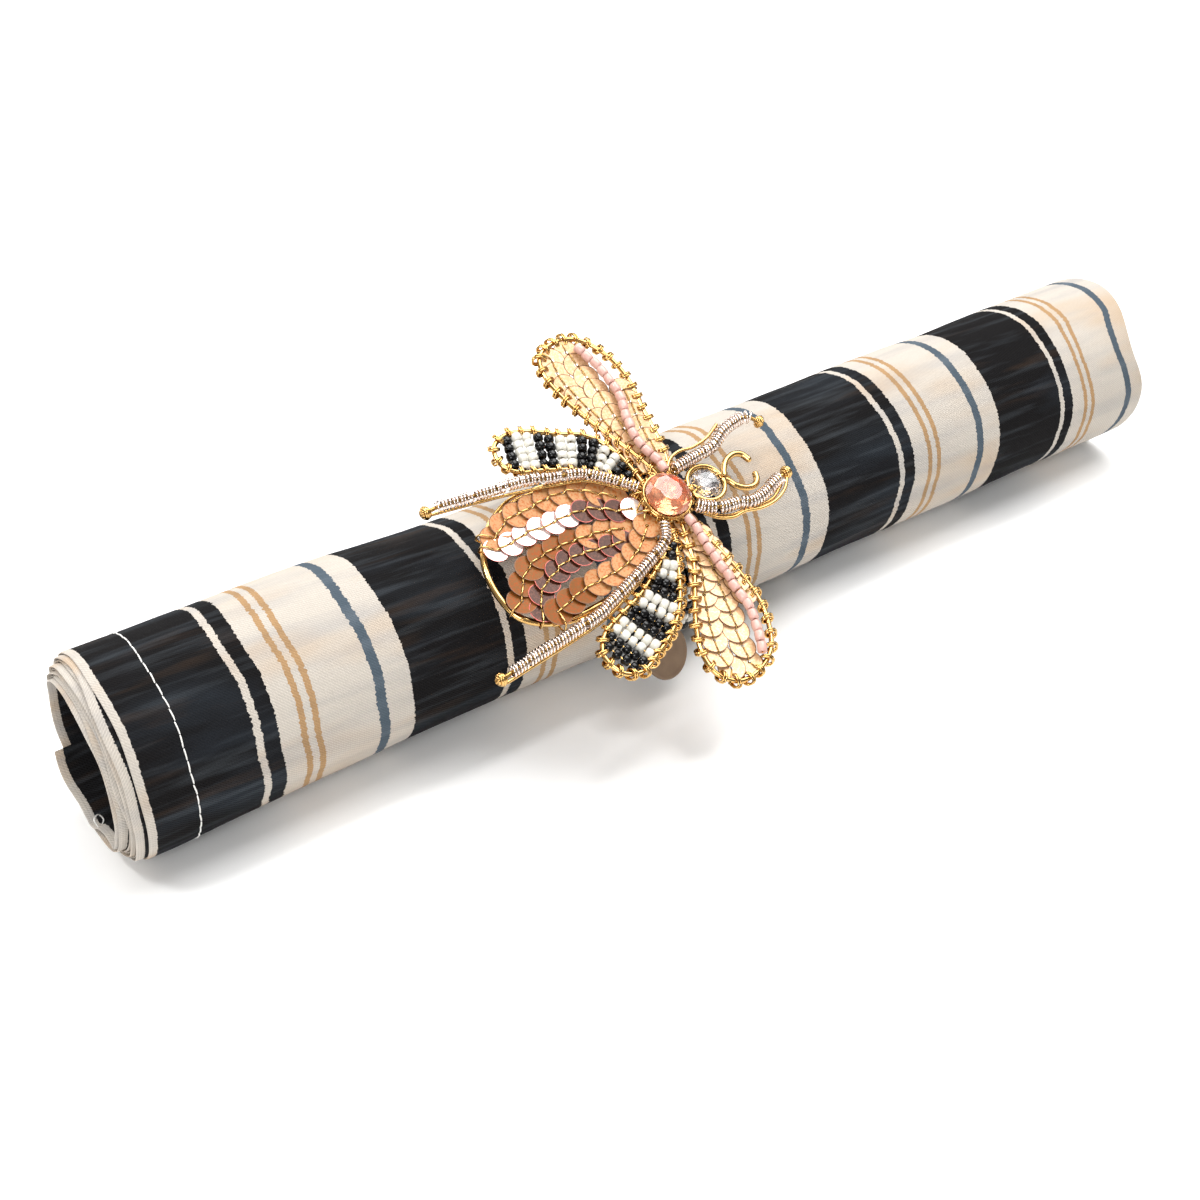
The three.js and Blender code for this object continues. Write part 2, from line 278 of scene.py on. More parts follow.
def glass_bead(name, dark, light, rough, coat=0.5, gloss=0.5):
    return two_tone(
        name, (dark, light), (300,), (900,), (rough, rough + 0.1), (0.00003, 0.3),
        Specular_IOR_Level=gloss, Coat_Weight=coat, Coat_Roughness=0.04,
    )


gold_wire = metal("gold_wire", (0.46, 0.25, 0.07), (0.86, 0.56, 0.22), 0.08, 0.20)
stitch_wire = metal("stitching_wire", (0.30, 0.17, 0.05), (0.52, 0.33, 0.11), 0.20, 0.36)
coiled_wire = metal("coiled_wire", (0.66, 0.52, 0.45), (0.98, 0.90, 0.84), 0.08, 0.20)
foil = metal("stone_foil", (0.90, 0.82, 0.74), (1.0, 0.95, 0.90), 0.05, 0.15)
black_bead = glass_bead("black_bead", (0.0015, 0.0014, 0.0016), (0.004, 0.0037, 0.004), 0.05, 0.10, 0.30)
ivory_bead = glass_bead("ivory_bead", (0.62, 0.59, 0.51), (0.78, 0.76, 0.69), 0.14)
pink_bead = glass_bead("pink_bead", (0.60, 0.31, 0.26), (0.76, 0.48, 0.41), 0.26, 0.35)

# %% Sequin finishes
SEQUIN_LOOKS = {
    # dark, light, fleck, metallic, roughness from and to, gloss
    "peach_satin": ((0.52, 0.30, 0.145), (0.71, 0.45, 0.235), (0.76, 0.52, 0.30), 0.25, 0.26, 0.42, 0.5),
    "peach_matte": ((0.36, 0.165, 0.055), (0.52, 0.27, 0.11), (0.42, 0.13, 0.03), 0.15, 0.30, 0.48, 0.3),
    # a dark brown rim for peach and rust sequins, partly painted shade
    "peach_rim_and_painted_shade": ((0.10, 0.035, 0.01), (0.20, 0.08, 0.025), (0.10, 0.035, 0.01), 0.3, 0.3, 0.4, 0.5),
    "rust_matte": ((0.15, 0.048, 0.007), (0.23, 0.092, 0.022), (0.26, 0.06, 0.008), 0.15, 0.30, 0.46, 0.15),
    "rose_mirror": ((0.95, 0.84, 0.80), (1.0, 0.92, 0.89), (0.95, 0.80, 0.76), 0.55, 0.12, 0.20, 0.5),
    "mauve_mirror": (
        (0.03, 0.008, 0.004), (0.08, 0.026, 0.013), (0.10, 0.034, 0.019), 0.15, 0.14, 0.28, 0.22,
    ),
    "rose_edge": ((0.36, 0.06, 0.045), (0.50, 0.13, 0.10), (0.36, 0.06, 0.045), 0.4, 0.25, 0.35, 0.5),
}


def sequin_finish(name, dark, light, fleck, metallic, smooth, rough, gloss):
    finish = Finish(name)
    place = finish.place()
    tone, grain = finish.noise(place, 150), finish.noise(place, 2100, 3)
    flecks = finish.mask(grain, 0.48, 0.60)
    return finish.surface(
        Base_Color=finish.mix(flecks, finish.mix(tone, dark, light), fleck),
        Metallic=metallic,
        Roughness=finish.between(grain, smooth, rough),
        Specular_IOR_Level=gloss,
        Normal=finish.relief(tone, 0.0001, 0.35),
    )


sequin_foils = {name: sequin_finish(name, *look) for name, look in SEQUIN_LOOKS.items()}


# %% Stone, bronze and thread finishes
def stone_finish(name, deep, bright, clearness, patches):
    finish = Finish(name)
    # painted reflection: Voronoi patches of the lighter tone stand in for glints in the facets
    glint_patches = finish.node("TexVoronoi", {}, {"Vector": finish.place(), "Scale": patches}, "Color")
    return finish.surface(
        Base_Color=finish.mix(finish.part(glint_patches, "X"), deep, bright),
        Roughness=0.02,
        Transmission_Weight=clearness,
        IOR=1.60,
        Coat_Weight=0.5,
        Coat_Roughness=0.02,
    )


def bronze_finish():
    finish = Finish("dull_bronze")
    place = finish.place()
    tarnish, grain = finish.noise(place, 260, 4), finish.noise(place, 3200)
    return finish.surface(
        Base_Color=finish.mix(tarnish, (0.16, 0.105, 0.065), (0.30, 0.205, 0.135)),
        Metallic=0.55,
        Roughness=finish.between(tarnish, 0.42, 0.6),
        Normal=finish.relief(grain, 0.00002, 0.5),
    )


def thread_finish(name, dark, light, scale, depth, roughness):
    finish = Finish(name)
    twist = finish.noise(finish.place(), scale)
    colour = finish.mix(twist, dark, light)
    return finish.surface(Base_Color=colour, Roughness=roughness, Normal=finish.relief(twist, depth))


orange_stone = stone_finish("orange_stone", (1.0, 0.28, 0.11), (1.0, 0.52, 0.30), 0.82, 620.0)
clear_stone = stone_finish("clear_stone", (0.90, 0.84, 0.86), (1.0, 0.97, 0.97), 0.95, 500.0)
bronze = bronze_finish()
white_thread = thread_finish("white_thread", (0.72, 0.70, 0.66), (0.88, 0.87, 0.84), 2600, 0.00004, 0.6)
beading_cloth = thread_finish("beading_cloth", (0.10, 0.08, 0.06), (0.20, 0.165, 0.12), 2400, 0.0001, 0.85)

# %% [markdown]
# ## Lines that wires follow
#
# Every wire, row of sequins and string of beads follows a smooth line through a few points. `Course`
# measures that line in mm, so that a bead or a turn of wire can be put at a distance along it. The
# curve is the one that bends least between uneven points, which keeps tight hooks round.

# %% Course
OUTWARDS = Vector((0, 0, 1))


def towards(points, knots, reach, x):
    """Points between neighbours, each as far along as x is between their knots."""
    return [
        points[k].lerp(points[k + 1], (x - knots[k]) / (knots[k + reach] - knots[k]))
        for k in range(len(points) - 1)
    ]


def smooth_line(stops, closed, steps=8):
    count = len(stops)
    line = []
    for i in range(count if closed else count - 1):
        if closed:
            four = [stops[(i + k - 1) % count] for k in range(4)]
        else:
            before = stops[i - 1] if i else stops[0] * 2 - stops[1]
            after = stops[i + 2] if i + 2 < count else stops[-1] * 2 - stops[-2]
            four = [before, stops[i], stops[i + 1], after]
        knots = [0.0]
        for a, b in zip(four, four[1:]):
            knots.append(knots[-1] + max((b - a).length, 1e-6) ** 0.5)
        for step in range(steps):
            x = knots[1] + (knots[2] - knots[1]) * step / steps
            pair = towards(towards(four, knots, 1, x), knots, 2, x)
            line.append(pair[0].lerp(pair[1], (x - knots[1]) / (knots[2] - knots[1])))
    if not closed:
        line.append(stops[-1].copy())
    return line


class Course:
    """A smooth line through points in mm. Points without a height of their own lie at w."""

    def __init__(self, points, closed=False, w=0.0):
        stops = [Vector(p) if len(p) == 3 else Vector((*p, w)) for p in points]
        self.closed = closed
        self.line = smooth_line(stops, closed)
        self.ring = self.line + self.line[:1] if closed else self.line
        self.marks = [0.0]
        for a, b in zip(self.ring, self.ring[1:]):
            self.marks.append(self.marks[-1] + (b - a).length)
        self.length = self.marks[-1]

    def at(self, distance):
        if self.closed:
            distance %= self.length
        k = bisect.bisect_right(self.marks, distance) - 1
        k = min(max(k, 0), len(self.ring) - 2)
        share = (distance - self.marks[k]) / (self.marks[k + 1] - self.marks[k])
        return self.ring[k].lerp(self.ring[k + 1], share)

    def heading(self, distance, reach=0.3):
        return (self.at(distance + reach) - self.at(distance - reach)).normalized()

    def side(self, distance):
        return self.heading(distance).cross(OUTWARDS).normalized()

    def nearest(self, point, steps=200):
        places = [self.at(self.length * i / steps) for i in range(steps)]
        return min(places, key=lambda place: (place - point).length)


# %% [markdown]
# ## Helpers for pieces
#
# Small parts are modelled once in mm and put in place many times, and wires are tubes along a line.
# A finished piece is turned into its plane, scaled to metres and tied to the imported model, so that its
# object stays at the origin.

# %% Making and placing
INSECT_PLANE = Matrix.Translation((-13.5, -13.9, 38.9)) @ Matrix.Rotation(math.radians(29), 4, "X")
AS_MADE = Matrix.Identity(4)
METRES = 0.001


def spun(profile, steps, closed=True):
    """A shape turned about X from rows of (x, radius)."""
    made = bmesh.new()
    rows = [made.verts.new((x, radius, 0)) for x, radius in profile]
    pairs = list(zip(rows, rows[1:]))
    if closed:
        pairs.append((rows[-1], rows[0]))
    edges = [made.edges.new(pair) for pair in pairs]
    bmesh.ops.spin(
        made, geom=rows + edges, cent=(0, 0, 0), axis=(1, 0, 0),
        angle=2 * math.pi, steps=steps, use_merge=True,
    )
    bmesh.ops.remove_doubles(made, verts=made.verts, dist=1e-4)
    bmesh.ops.recalc_face_normals(made, faces=made.faces)
    return made


def put_in(made, shape, place, finish=0):
    """Adds a copy of a template to a mesh. finish is added to its faces' material numbers."""
    verts, faces = len(made.verts), len(made.faces)
    made.from_mesh(shape)
    made.verts.ensure_lookup_table()
    made.faces.ensure_lookup_table()
    bmesh.ops.transform(made, matrix=place, verts=made.verts[verts:])
    for face in made.faces[faces:]:
        face.material_index += finish


def wires(made, lines, radius, roundness=1, closed=False, finish=0):
    """Adds round wires along lines. A roundness of 1 or 2 gives 6 or 8 sides."""
    curve = bpy.data.curves.new("wire", "CURVE")
    curve.dimensions = "3D"
    curve.bevel_depth = radius
    curve.bevel_resolution = roundness
    curve.use_fill_caps = True
    for line in lines:
        spline = curve.splines.new("POLY")
        spline.points.add(len(line) - 1)
        spline.points.foreach_set("co", [c for point in line for c in (*point, 1)])
        spline.use_cyclic_u = closed
    holder = bpy.data.objects.new("wire", curve)
    tube = bpy.data.meshes.new_from_object(holder)
    put_in(made, tube, AS_MADE, finish)
    bpy.data.objects.remove(holder)
    bpy.data.meshes.remove(tube)


def axes(centre, x, z):
    """The place of a template whose own X points along x, and whose Z is as near z as it can be."""
    x = x.normalized()
    y = z.cross(x).normalized()
    turned = Matrix((x, y, x.cross(y))).transposed().to_4x4()
    return Matrix.Translation(centre) @ turned


def finished(made, name, finishes, nodes=(), plane=INSECT_PLANE, crease=65):
    """Makes a mesh in mm an object in metres. Edges sharper than crease degrees stay sharp."""
    bmesh.ops.transform(made, matrix=Matrix.Scale(METRES, 4) @ plane, verts=made.verts)
    data = template(made, name)
    for finish in finishes:
        data.materials.append(finish)
    data.polygons.foreach_set("use_smooth", [True] * len(data.polygons))
    data.set_sharp_from_angle(angle=math.radians(crease))
    piece = add_object(name, data)
    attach(piece, "root")
    if nodes:
        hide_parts(*nodes)
    print(name, len(data.polygons), "faces")
    return piece


# %% [markdown]
# ## The wound napkin
#
# The napkin is a 508 mm square, folded in half and wound from its open side edges, so the roll is 254 mm
# long with the fold at the right and the two hemmed edges at the left. A grid has one column for each
# few degrees of winding and one row for each station across the cloth: along the outer ply, round the
# fold, and back along the inner ply. The turns lie a little over a millimetre apart.

# %% Sizes of the wound cloth, in mm and wound degrees
ROLL_RADIUS, ROLL_HEIGHT = 19.65, 19.6
FRONT_OF_OUTER_TURN, LOWEST_OF_OUTER_TURN = 1033, 1260
INNER_EDGE, OUTER_EDGE = -245, 1276
TWIST = 25
TURN_PITCH = 1.1
PLY, HEM = 0.34, 0.42
PLY_DEPTHS = (0.22, 0.70)
STITCH_LINE = 9.5
HALF_LENGTH = 127.0
DEGREES_PER_COLUMN = 5
BAND_X = -12.8
# how far from the middle of the ring each change is whole, and how far it reaches
WAIST, NARROWING, CREASES = (4.8, 10.8), (30, 85), (7, 34)
DIP_ANGLE, DIP_WIDTH, DIP_DEPTH = 308, 29, 4.2
PUCKER_ANGLE, PUCKER_DEPTH = -158, 2.4

LEFT_EDGE = [
    # wound degrees, how far the outer ply and the inner ply stand out at the left
    (-245, 5.0, 5.3), (-190, 4.6, 5.0), (-65, 3.6, 4.2), (80, 2.8, 3.3), (277, 2.3, 2.8), (430, 2.2, 2.9),
    (637, 1.7, 2.4), (800, 1.0, 2.2), (930, 0.1, 1.9), (1040, 0.0, 1.7), (1105, 0.1, 1.2), (1200, 0.4, 0.9),
    (1302, 1.0, 1.2),
]


# %% Uneven ends
def smoothstep(x, low, high):
    x = min(max((x - low) / (high - low), 0.0), 1.0)
    return x * x * (3 - 2 * x)


def left_edge_out(angle, ply):
    """How far the left rim stands out. ply is 0 for the outer ply and 1 for the inner one."""
    k = next((i for i, row in enumerate(LEFT_EDGE) if row[0] >= angle), len(LEFT_EDGE) - 1)
    low, high = LEFT_EDGE[max(k - 1, 0)], LEFT_EDGE[k]
    share = smoothstep(angle, low[0], high[0]) if high[0] > low[0] else 1.0
    outer, inner = (low[c] + (high[c] - low[c]) * share for c in (1, 2))
    uneven = noise.noise(Vector((angle / 34, 7.3 * ply, 0))) * (0.35 + 0.35 * ply)
    return outer + (inner - outer) * ply + uneven


def right_end_out(angle):
    """How far the folded end stands out: aslant, with a dip at one side."""
    from_dip = (angle - DIP_ANGLE + 180) % 360 - 180
    slant = 1.2 * math.cos(math.radians(angle - 45))
    return 2.0 + slant - DIP_DEPTH * math.exp(-((from_dip / DIP_WIDTH) ** 2))


def end_shift(angle, x, ply):
    """How far the uneven ends move a point along the roll."""
    if x > HALF_LENGTH - 40:
        out = right_end_out(angle) - left_edge_out(angle, 0.5)
        return out * smoothstep(x, HALF_LENGTH - 40, HALF_LENGTH)
    faded = smoothstep(x, 14 - HALF_LENGTH, 70 - HALF_LENGTH)
    return -left_edge_out(angle, ply) * (1 - 0.98 * faded)


# %% Shape of the roll
def near_band(x, whole, faded):
    return 1 - smoothstep(abs(x - BAND_X), whole, faded)


def swell(side, x):
    """Slow bulges, soft dents and the short creases that run out of the ring."""
    waist = near_band(x, *WAIST)
    bulges = 0.22 * math.sin(2 * side + 0.045 * x) + 0.14 * math.sin(3 * side - 0.07 * x + 1)
    place = Vector((0.035 * x, 1.1 * math.cos(side), 1.1 * math.sin(side)))
    dents = 0.42 * noise.noise(place) + 0.13 * noise.noise(place * 3.1)
    by_ring = near_band(x, *CREASES) * (1 - waist)
    creases = 0.34 * by_ring * math.sin(9 * side + 0.09 * x + 2.2 * noise.noise(place * 1.7))
    return bulges * (1 - waist) + dents * (1 - 0.8 * waist) + creases


def wound_point(angle, x, depth, out=0.0):
    """A point of the roll, depth mm below the outer face of the cloth at a wound angle."""
    side = math.radians(angle)
    narrow, waist = near_band(x, *NARROWING), near_band(x, *WAIST)
    below = ((1 - math.cos(side)) / 2) ** 2
    pressed = waist * (0.35 + 1.55 * below) + 0.75 * narrow
    radius = ROLL_RADIUS + TURN_PITCH * (angle - FRONT_OF_OUTER_TURN) / 360 - depth - pressed
    radius += swell(side, x)
    turns_outside = round((LOWEST_OF_OUTER_TURN - angle) / 360)
    foot = TURN_PITCH * turns_outside + depth + 2.85 * waist
    over_foot = ROLL_HEIGHT - 0.4 * narrow + radius * math.cos(side) - foot
    rounded = (over_foot + math.hypot(over_foot, 0.7)) / 2
    lift = foot + rounded - 0.1 * (1 - smoothstep(rounded, 0, 1))
    return Vector((x + out, radius * math.sin(side), lift))


def winding_length(angle):
    """Cloth between the inner edge and a wound angle, in mm."""
    turn = math.radians(angle - INNER_EDGE)
    at_inner_edge = ROLL_RADIUS + TURN_PITCH * (INNER_EDGE - FRONT_OF_OUTER_TURN) / 360
    return turn * (at_inner_edge + TURN_PITCH * turn / (4 * math.pi))


wound_length = winding_length(OUTER_EDGE)
print("wound length:", round(wound_length), "mm of the 508 mm square")

# %% [markdown]
# Stations across the cloth are close together at the hem, whose rim is pinched to look rounded, and by
# the ring, where the cloth is squeezed. The fold takes five stations round a tiny half circle.

# %% Stations across the cloth
RIM_STATIONS = [0.0, 0.12, 0.35, 0.8, 2.0, 4.5, 7.0, 9.0, 9.5, 10.0, 10.8, 13.0]


def ply_stations():
    stations = [-HALF_LENGTH + s for s in RIM_STATIONS]
    x = stations[-1] + 5.0
    while x < HALF_LENGTH - 3:
        stations.append(x)
        x += 2.4 if abs(x - BAND_X) < 24 else 5.6
    return stations + [HALF_LENGTH - 1.5, HALF_LENGTH - 0.5]


def thickness_share(from_rim, from_side):
    """How thick the cloth is: pinched rim, hem, then one layer, and thin at its open sides."""
    hem = 1 - smoothstep(from_rim, 9.2, 10.6) * (1 - PLY / HEM)
    pinched = 0.25 + 0.75 * smoothstep(from_rim, -0.05, 0.55)
    return min(hem * pinched, 0.35 + 0.65 * smoothstep(from_side, -0.05, 1.2))


outward = ply_stations()
middle_depth = sum(PLY_DEPTHS) / 2
fold_radius = (PLY_DEPTHS[1] - PLY_DEPTHS[0]) / 2
# place along the roll, depth, bulge of the fold, and ply from 0, outer, to 1, inner
stations = [(x, PLY_DEPTHS[0], 0.0, 0.0) for x in outward]
for degrees in (0, 45, 90, 135, 180):
    a = math.radians(degrees)
    depth = middle_depth - fold_radius * math.cos(a)
    stations.append((HALF_LENGTH, depth, fold_radius * math.sin(a), a / math.pi))
stations += [(x, PLY_DEPTHS[1], 0.0, 1.0) for x in reversed(outward)]
across = [s[0] + HALF_LENGTH if s[3] < 1 else 3 * HALF_LENGTH - s[0] for s in stations]
columns = round((OUTER_EDGE - INNER_EDGE) / DEGREES_PER_COLUMN)
print(len(stations), "stations,", columns, "columns")

# %% Wind the cloth
cloth = bmesh.new()
bmesh.ops.create_grid(cloth, x_segments=columns, y_segments=len(stations) - 1, size=0.5)
cloth_uv = cloth.loops.layers.uv.new("cloth")
flat_places, thickness_shares = {}, []
for vert in cloth.verts:
    share = vert.co.x + 0.5
    row = round((vert.co.y + 0.5) * (len(stations) - 1))
    x, depth, bulge, ply = stations[row]
    wound = INNER_EDGE + (OUTER_EDGE - INNER_EDGE) * share
    angle = wound - TWIST * (x / (2 * HALF_LENGTH) + 0.5)
    from_rim = min(across[row], 4 * HALF_LENGTH - across[row])
    from_side = wound_length * min(share, 1 - share)
    groove = 0.07 * math.exp(-(((from_rim - STITCH_LINE) / 0.45) ** 2)) * (1 - 2 * ply)
    pucker = ply * (1 - smoothstep(abs(angle - PUCKER_ANGLE), 4, 24)) * (1 - smoothstep(x, -125, -117))
    out = end_shift(angle, x, ply) + bulge
    vert.co = wound_point(angle, x, depth + groove + PUCKER_DEPTH * pucker, out)
    flat_places[vert] = (METRES * winding_length(wound), METRES * across[row])
    thickness_shares.append(thickness_share(from_rim, from_side))
for face in cloth.faces:
    for loop in face.loops:
        loop[cloth_uv].uv = flat_places[loop.vert]

# %% [markdown]
# The weave is a fine twill. Broad charcoal and ivory stripes run round the roll, with slim ochre and
# slate lines between them, and a narrow ivory line follows both hemmed edges. The yarns were dyed before
# weaving, so each starts its stripe a little early or late, and slate, tan and pale streaks run along
# them. All of it follows the flat cloth, so it is drawn on the UV map, which is in metres.

# %% Cloth design
HALF_SQUARE, STRIPE_REPEAT, FIRST_STRIPE, EDGE_LINE = 0.254, 0.0508, 0.0012, 0.0015
TWILL_LINE, THREAD_LINE = 0.00066, 0.00047
LIGHT, DARK, OCHRE, SLATE = (1, 0, 0), (0, 0, 0), (0, 1, 0), (0, 0, 1)
STRIPES = [
    # mm from the start of the repeat, kind of yarn
    (0.0, DARK), (20.4, LIGHT), (21.7, DARK), (24.8, LIGHT), (28.6, OCHRE), (29.8, LIGHT), (31.2, OCHRE),
    (32.4, LIGHT), (43.6, SLATE), (45.6, LIGHT),
]


def cloth_finish():
    finish = Finish("striped_cotton")
    flat = finish.place(uv=True)
    along, over = finish.part(flat, "X"), finish.part(flat, "Y")
    fuzz = finish.noise(flat, 2300, 2)

    def streaky(across, size, detail):
        return finish.noise(finish.place((1, across, 1), uv=True), size, detail)

    yarns, wander = streaky(0.04, 1500, 3), streaky(0.15, 75, 2)
    from_rim = HALF_SQUARE - (over - HALF_SQUARE).maths("ABSOLUTE")
    place = from_rim - FIRST_STRIPE
    place = place + (fuzz - 0.5) * 0.0006 + (yarns - 0.5) * 0.0009 + (wander - 0.5) * 0.0022
    share = place.maths("FLOORED_MODULO", STRIPE_REPEAT) * (1 / STRIPE_REPEAT)
    stops = [(mm * METRES / STRIPE_REPEAT, yarn) for mm, yarn in STRIPES]
    kinds = finish.ramp(share, "CONSTANT", stops)
    edge_line = (from_rim + (fuzz - 0.5) * 0.0006).maths("LESS_THAN", EDGE_LINE)

    tan = finish.mask(streaky(0.30, 62, 3), 0.50, 0.68)
    grey = finish.mask(streaky(0.12, 210, 4), 0.47, 0.72)
    blue = finish.mask(streaky(0.22, 95, 4), 0.50, 0.76)
    pale = finish.mask(streaky(0.07, 480, 4), 0.50, 0.80)
    brown = finish.mask(streaky(0.10, 260, 4), 0.56, 0.76)

    ivory = finish.mix(tan * 0.60, (0.56, 0.51, 0.45), (0.52, 0.36, 0.22))
    ivory = finish.mix(grey * 0.40, ivory, (0.30, 0.30, 0.32))
    charcoal = finish.mix(blue * 0.60, (0.0055, 0.0052, 0.0056), (0.028, 0.037, 0.048))
    charcoal = finish.mix(pale * 0.28, charcoal, (0.13, 0.15, 0.17))
    charcoal = finish.mix(brown * 0.40, charcoal, (0.065, 0.038, 0.022))
    ochre = finish.mix(grey * 0.5, (0.42, 0.26, 0.13), (0.22, 0.15, 0.09))
    slate = finish.mix(grey * 0.6, (0.075, 0.10, 0.125), (0.15, 0.18, 0.21))
    colour = charcoal
    for axis, yarn in (("X", ivory), ("Y", ochre), ("Z", slate)):
        colour = finish.mix(finish.part(kinds, axis), colour, yarn)
    colour = finish.mix(edge_line, colour, ivory)

    twill = ((along + over) * (2 * math.pi / TWILL_LINE)).maths("SINE")
    threads = (over * (2 * math.pi / THREAD_LINE)).maths("SINE")
    weave = twill * 0.5 + threads * 0.22 + fuzz * 1.3
    # painted shade: the grooves between the threads are darkened in the colour as well as in the relief
    shade = finish.between(weave, 0.02, 0.20)
    return finish.surface(
        Base_Color=finish.mix(shade, colour, (0.02, 0.018, 0.018)),
        Roughness=finish.between(grey, 0.80, 0.95),
        Specular_IOR_Level=0.06,
        Normal=finish.relief(weave, 0.00007, 0.6),
    )


# %% [markdown]
# So far the cloth is a bare sheet. A Solidify modifier makes it thick, and a vertex group tells it how
# thick: most in the hem, less in one layer, and least at the rims.

# %% Give the cloth its thickness
napkin = finished(cloth, "napkin_cloth", [cloth_finish()], ["napkin"], AS_MADE)
thickness = napkin.vertex_groups.new(name="thickness")
for i, share in enumerate(thickness_shares):
    thickness.add([i], share, "REPLACE")
thick = napkin.modifiers.new("cloth thickness", "SOLIDIFY")
thick.thickness = METRES * HEM
thick.offset = 0
thick.vertex_group = thickness.name
thick.use_even_offset = True

# %% [markdown]
# ## Hem stitches
#
# The hem is held by one line of white thread, about 9.5 mm from the rim. Each stitch is a short round
# stretch of thread that dips into the cloth at both ends.

# %% Stitches
STITCH, STITCH_GAP, THREAD_RADIUS = 2.2, 0.22, 0.14
# share of the stitch's length, height over the cloth
STITCH_PROFILE = [(0, -0.12), (0.2, 0.08), (0.5, 0.13), (0.8, 0.08), (1, -0.12)]
LOOSE_END = [
    (0, 0, 0), (-0.6, 0.4, 1.6), (-0.9, 1.7, 2.9), (0.3, 2.9, 2.6), (0.9, 2.6, 1.3), (0.1, 1.6, 1.0),
]


def stitches(made, first, last, ply):
    """Stitches between two wound angles, on the roll's outside for ply 0 and in its mouth for ply 1."""
    draw = random.Random(9)
    x = STITCH_LINE - HALF_LENGTH
    outside = 1 - 2 * ply
    face = PLY_DEPTHS[ply] - outside * 0.5 * HEM + outside * 0.07
    angle = first
    while angle < last:
        radius = ROLL_RADIUS + TURN_PITCH * (angle - FRONT_OF_OUTER_TURN) / 360
        span = math.degrees(STITCH / radius)
        skew = draw.uniform(-0.25, 0.25)
        line = []
        for share, lift in STITCH_PROFILE:
            here = angle + span * share
            out = end_shift(here, x, ply) + skew * (share - 0.5)
            line.append(wound_point(here, x, face - outside * lift, out))
        wires(made, [line], THREAD_RADIUS)
        angle += span + math.degrees(STITCH_GAP / radius)


thread = bmesh.new()
stitches(thread, 920, 1270, 0)
stitches(thread, -238, 140, 1)
tail = wound_point(-166, -HALF_LENGTH, PLY_DEPTHS[1] + 0.3, -left_edge_out(-166, 1) + 1.0)
wires(thread, [Course([tail + Vector(p) for p in LOOSE_END]).line], 0.13)
hem_stitches = finished(thread, "hem_stitches", [white_thread], plane=AS_MADE)

# %% [markdown]
# ## Beads of the ring
#
# The ring is a strip with seed beads sewn on, four across. A seed bead is a short rounded tube, so its
# outline, hole included, is spun about X. Rows go round the roll in pairs, two black and two ivory.

# %% Bead templates
seed_bead = template(spun([
    (-0.50, 0.40), (-0.76, 0.54), (-0.83, 0.78), (-0.62, 1.00), (-0.22, 1.10), (0.22, 1.10), (0.62, 1.00),
    (0.83, 0.78), (0.76, 0.54), (0.50, 0.40),
], 12), "seed_bead")
bugle_bead = template(spun([
    (-0.96, 0.35), (-1.08, 0.66), (-0.98, 0.88), (-0.5, 0.96), (0.5, 0.96), (0.98, 0.88), (1.08, 0.66),
    (0.96, 0.35),
], 12), "bugle_bead")

# %% Strip round the roll
BAND_RADIUS, BAND_HEIGHT, BAND_SIDEWAYS, BAND_FOOT = 18.75, 19.2, 0.35, 0.35
STRIP_WIDTH, STRIP, STRIP_STEPS = 8.4, 0.5, 96
BEADS_ACROSS, PITCH_ACROSS, PITCH_ROUND, BEAD_LIFT = 4, 2.12, 1.98, 0.95


def band_course(out, count=72):
    """A line round the band, out mm from its inner face, flattened underneath."""
    points = []
    for i in range(count):
        side = 2 * math.pi * i / count
        radius = BAND_RADIUS + out
        z = max(BAND_HEIGHT - radius * math.cos(side), BAND_FOOT + 2.2 - out)
        points.append((BAND_X, BAND_SIDEWAYS + radius * math.sin(side), z))
    return Course(points, closed=True)


strip = bmesh.new()
strip_middle = band_course(STRIP / 2)
bmesh.ops.create_circle(strip, segments=STRIP_STEPS, radius=1)
for i, vert in enumerate(strip.verts):
    middle = strip_middle.at(strip_middle.length * i / STRIP_STEPS)
    vert.co = middle - Vector((STRIP_WIDTH / 2, 0, 0))
widened = bmesh.ops.extrude_edge_only(strip, edges=strip.edges)["geom"]
far_rim = [g for g in widened if isinstance(g, bmesh.types.BMVert)]
bmesh.ops.translate(strip, vec=(STRIP_WIDTH, 0, 0), verts=far_rim)
bmesh.ops.solidify(strip, geom=strip.faces, thickness=STRIP)
bmesh.ops.recalc_face_normals(strip, faces=strip.faces)

# %% Beads on the strip
bead_line = band_course(STRIP + BEAD_LIFT)
bead_rows = 4 * round(bead_line.length / PITCH_ROUND / 4)
draw = random.Random(4)
for row in range(bead_rows):
    distance = bead_line.length * row / bead_rows
    middle, heading = bead_line.at(distance), bead_line.heading(distance)
    upwards = heading.cross(Vector((1, 0, 0)))
    for k in range(BEADS_ACROSS):
        x = (k - (BEADS_ACROSS - 1) / 2) * PITCH_ACROSS + draw.uniform(-0.08, 0.08)
        centre = middle + Vector((x, 0, 0)) + upwards * draw.uniform(-0.06, 0.06)
        lean = Vector((1, draw.uniform(-0.07, 0.07), draw.uniform(-0.07, 0.07)))
        place = axes(centre, lean, upwards) @ Matrix.Scale(draw.uniform(0.93, 1.0), 4)
        put_in(strip, seed_bead, place, 1 if row // 2 % 2 else 2)
ring_finishes = [beading_cloth, black_bead, ivory_bead]
finished(strip, "ring_beads", ring_finishes, ["ring_band"], AS_MADE)

# %% [markdown]
# ## Bronze disc
#
# A plain disc hangs at the front of the ring. It is stamped from sheet, so its edge is rounded and it
# has a faint raised rim. Its outline is spun, and a fine bevel softens what is left of the edges.

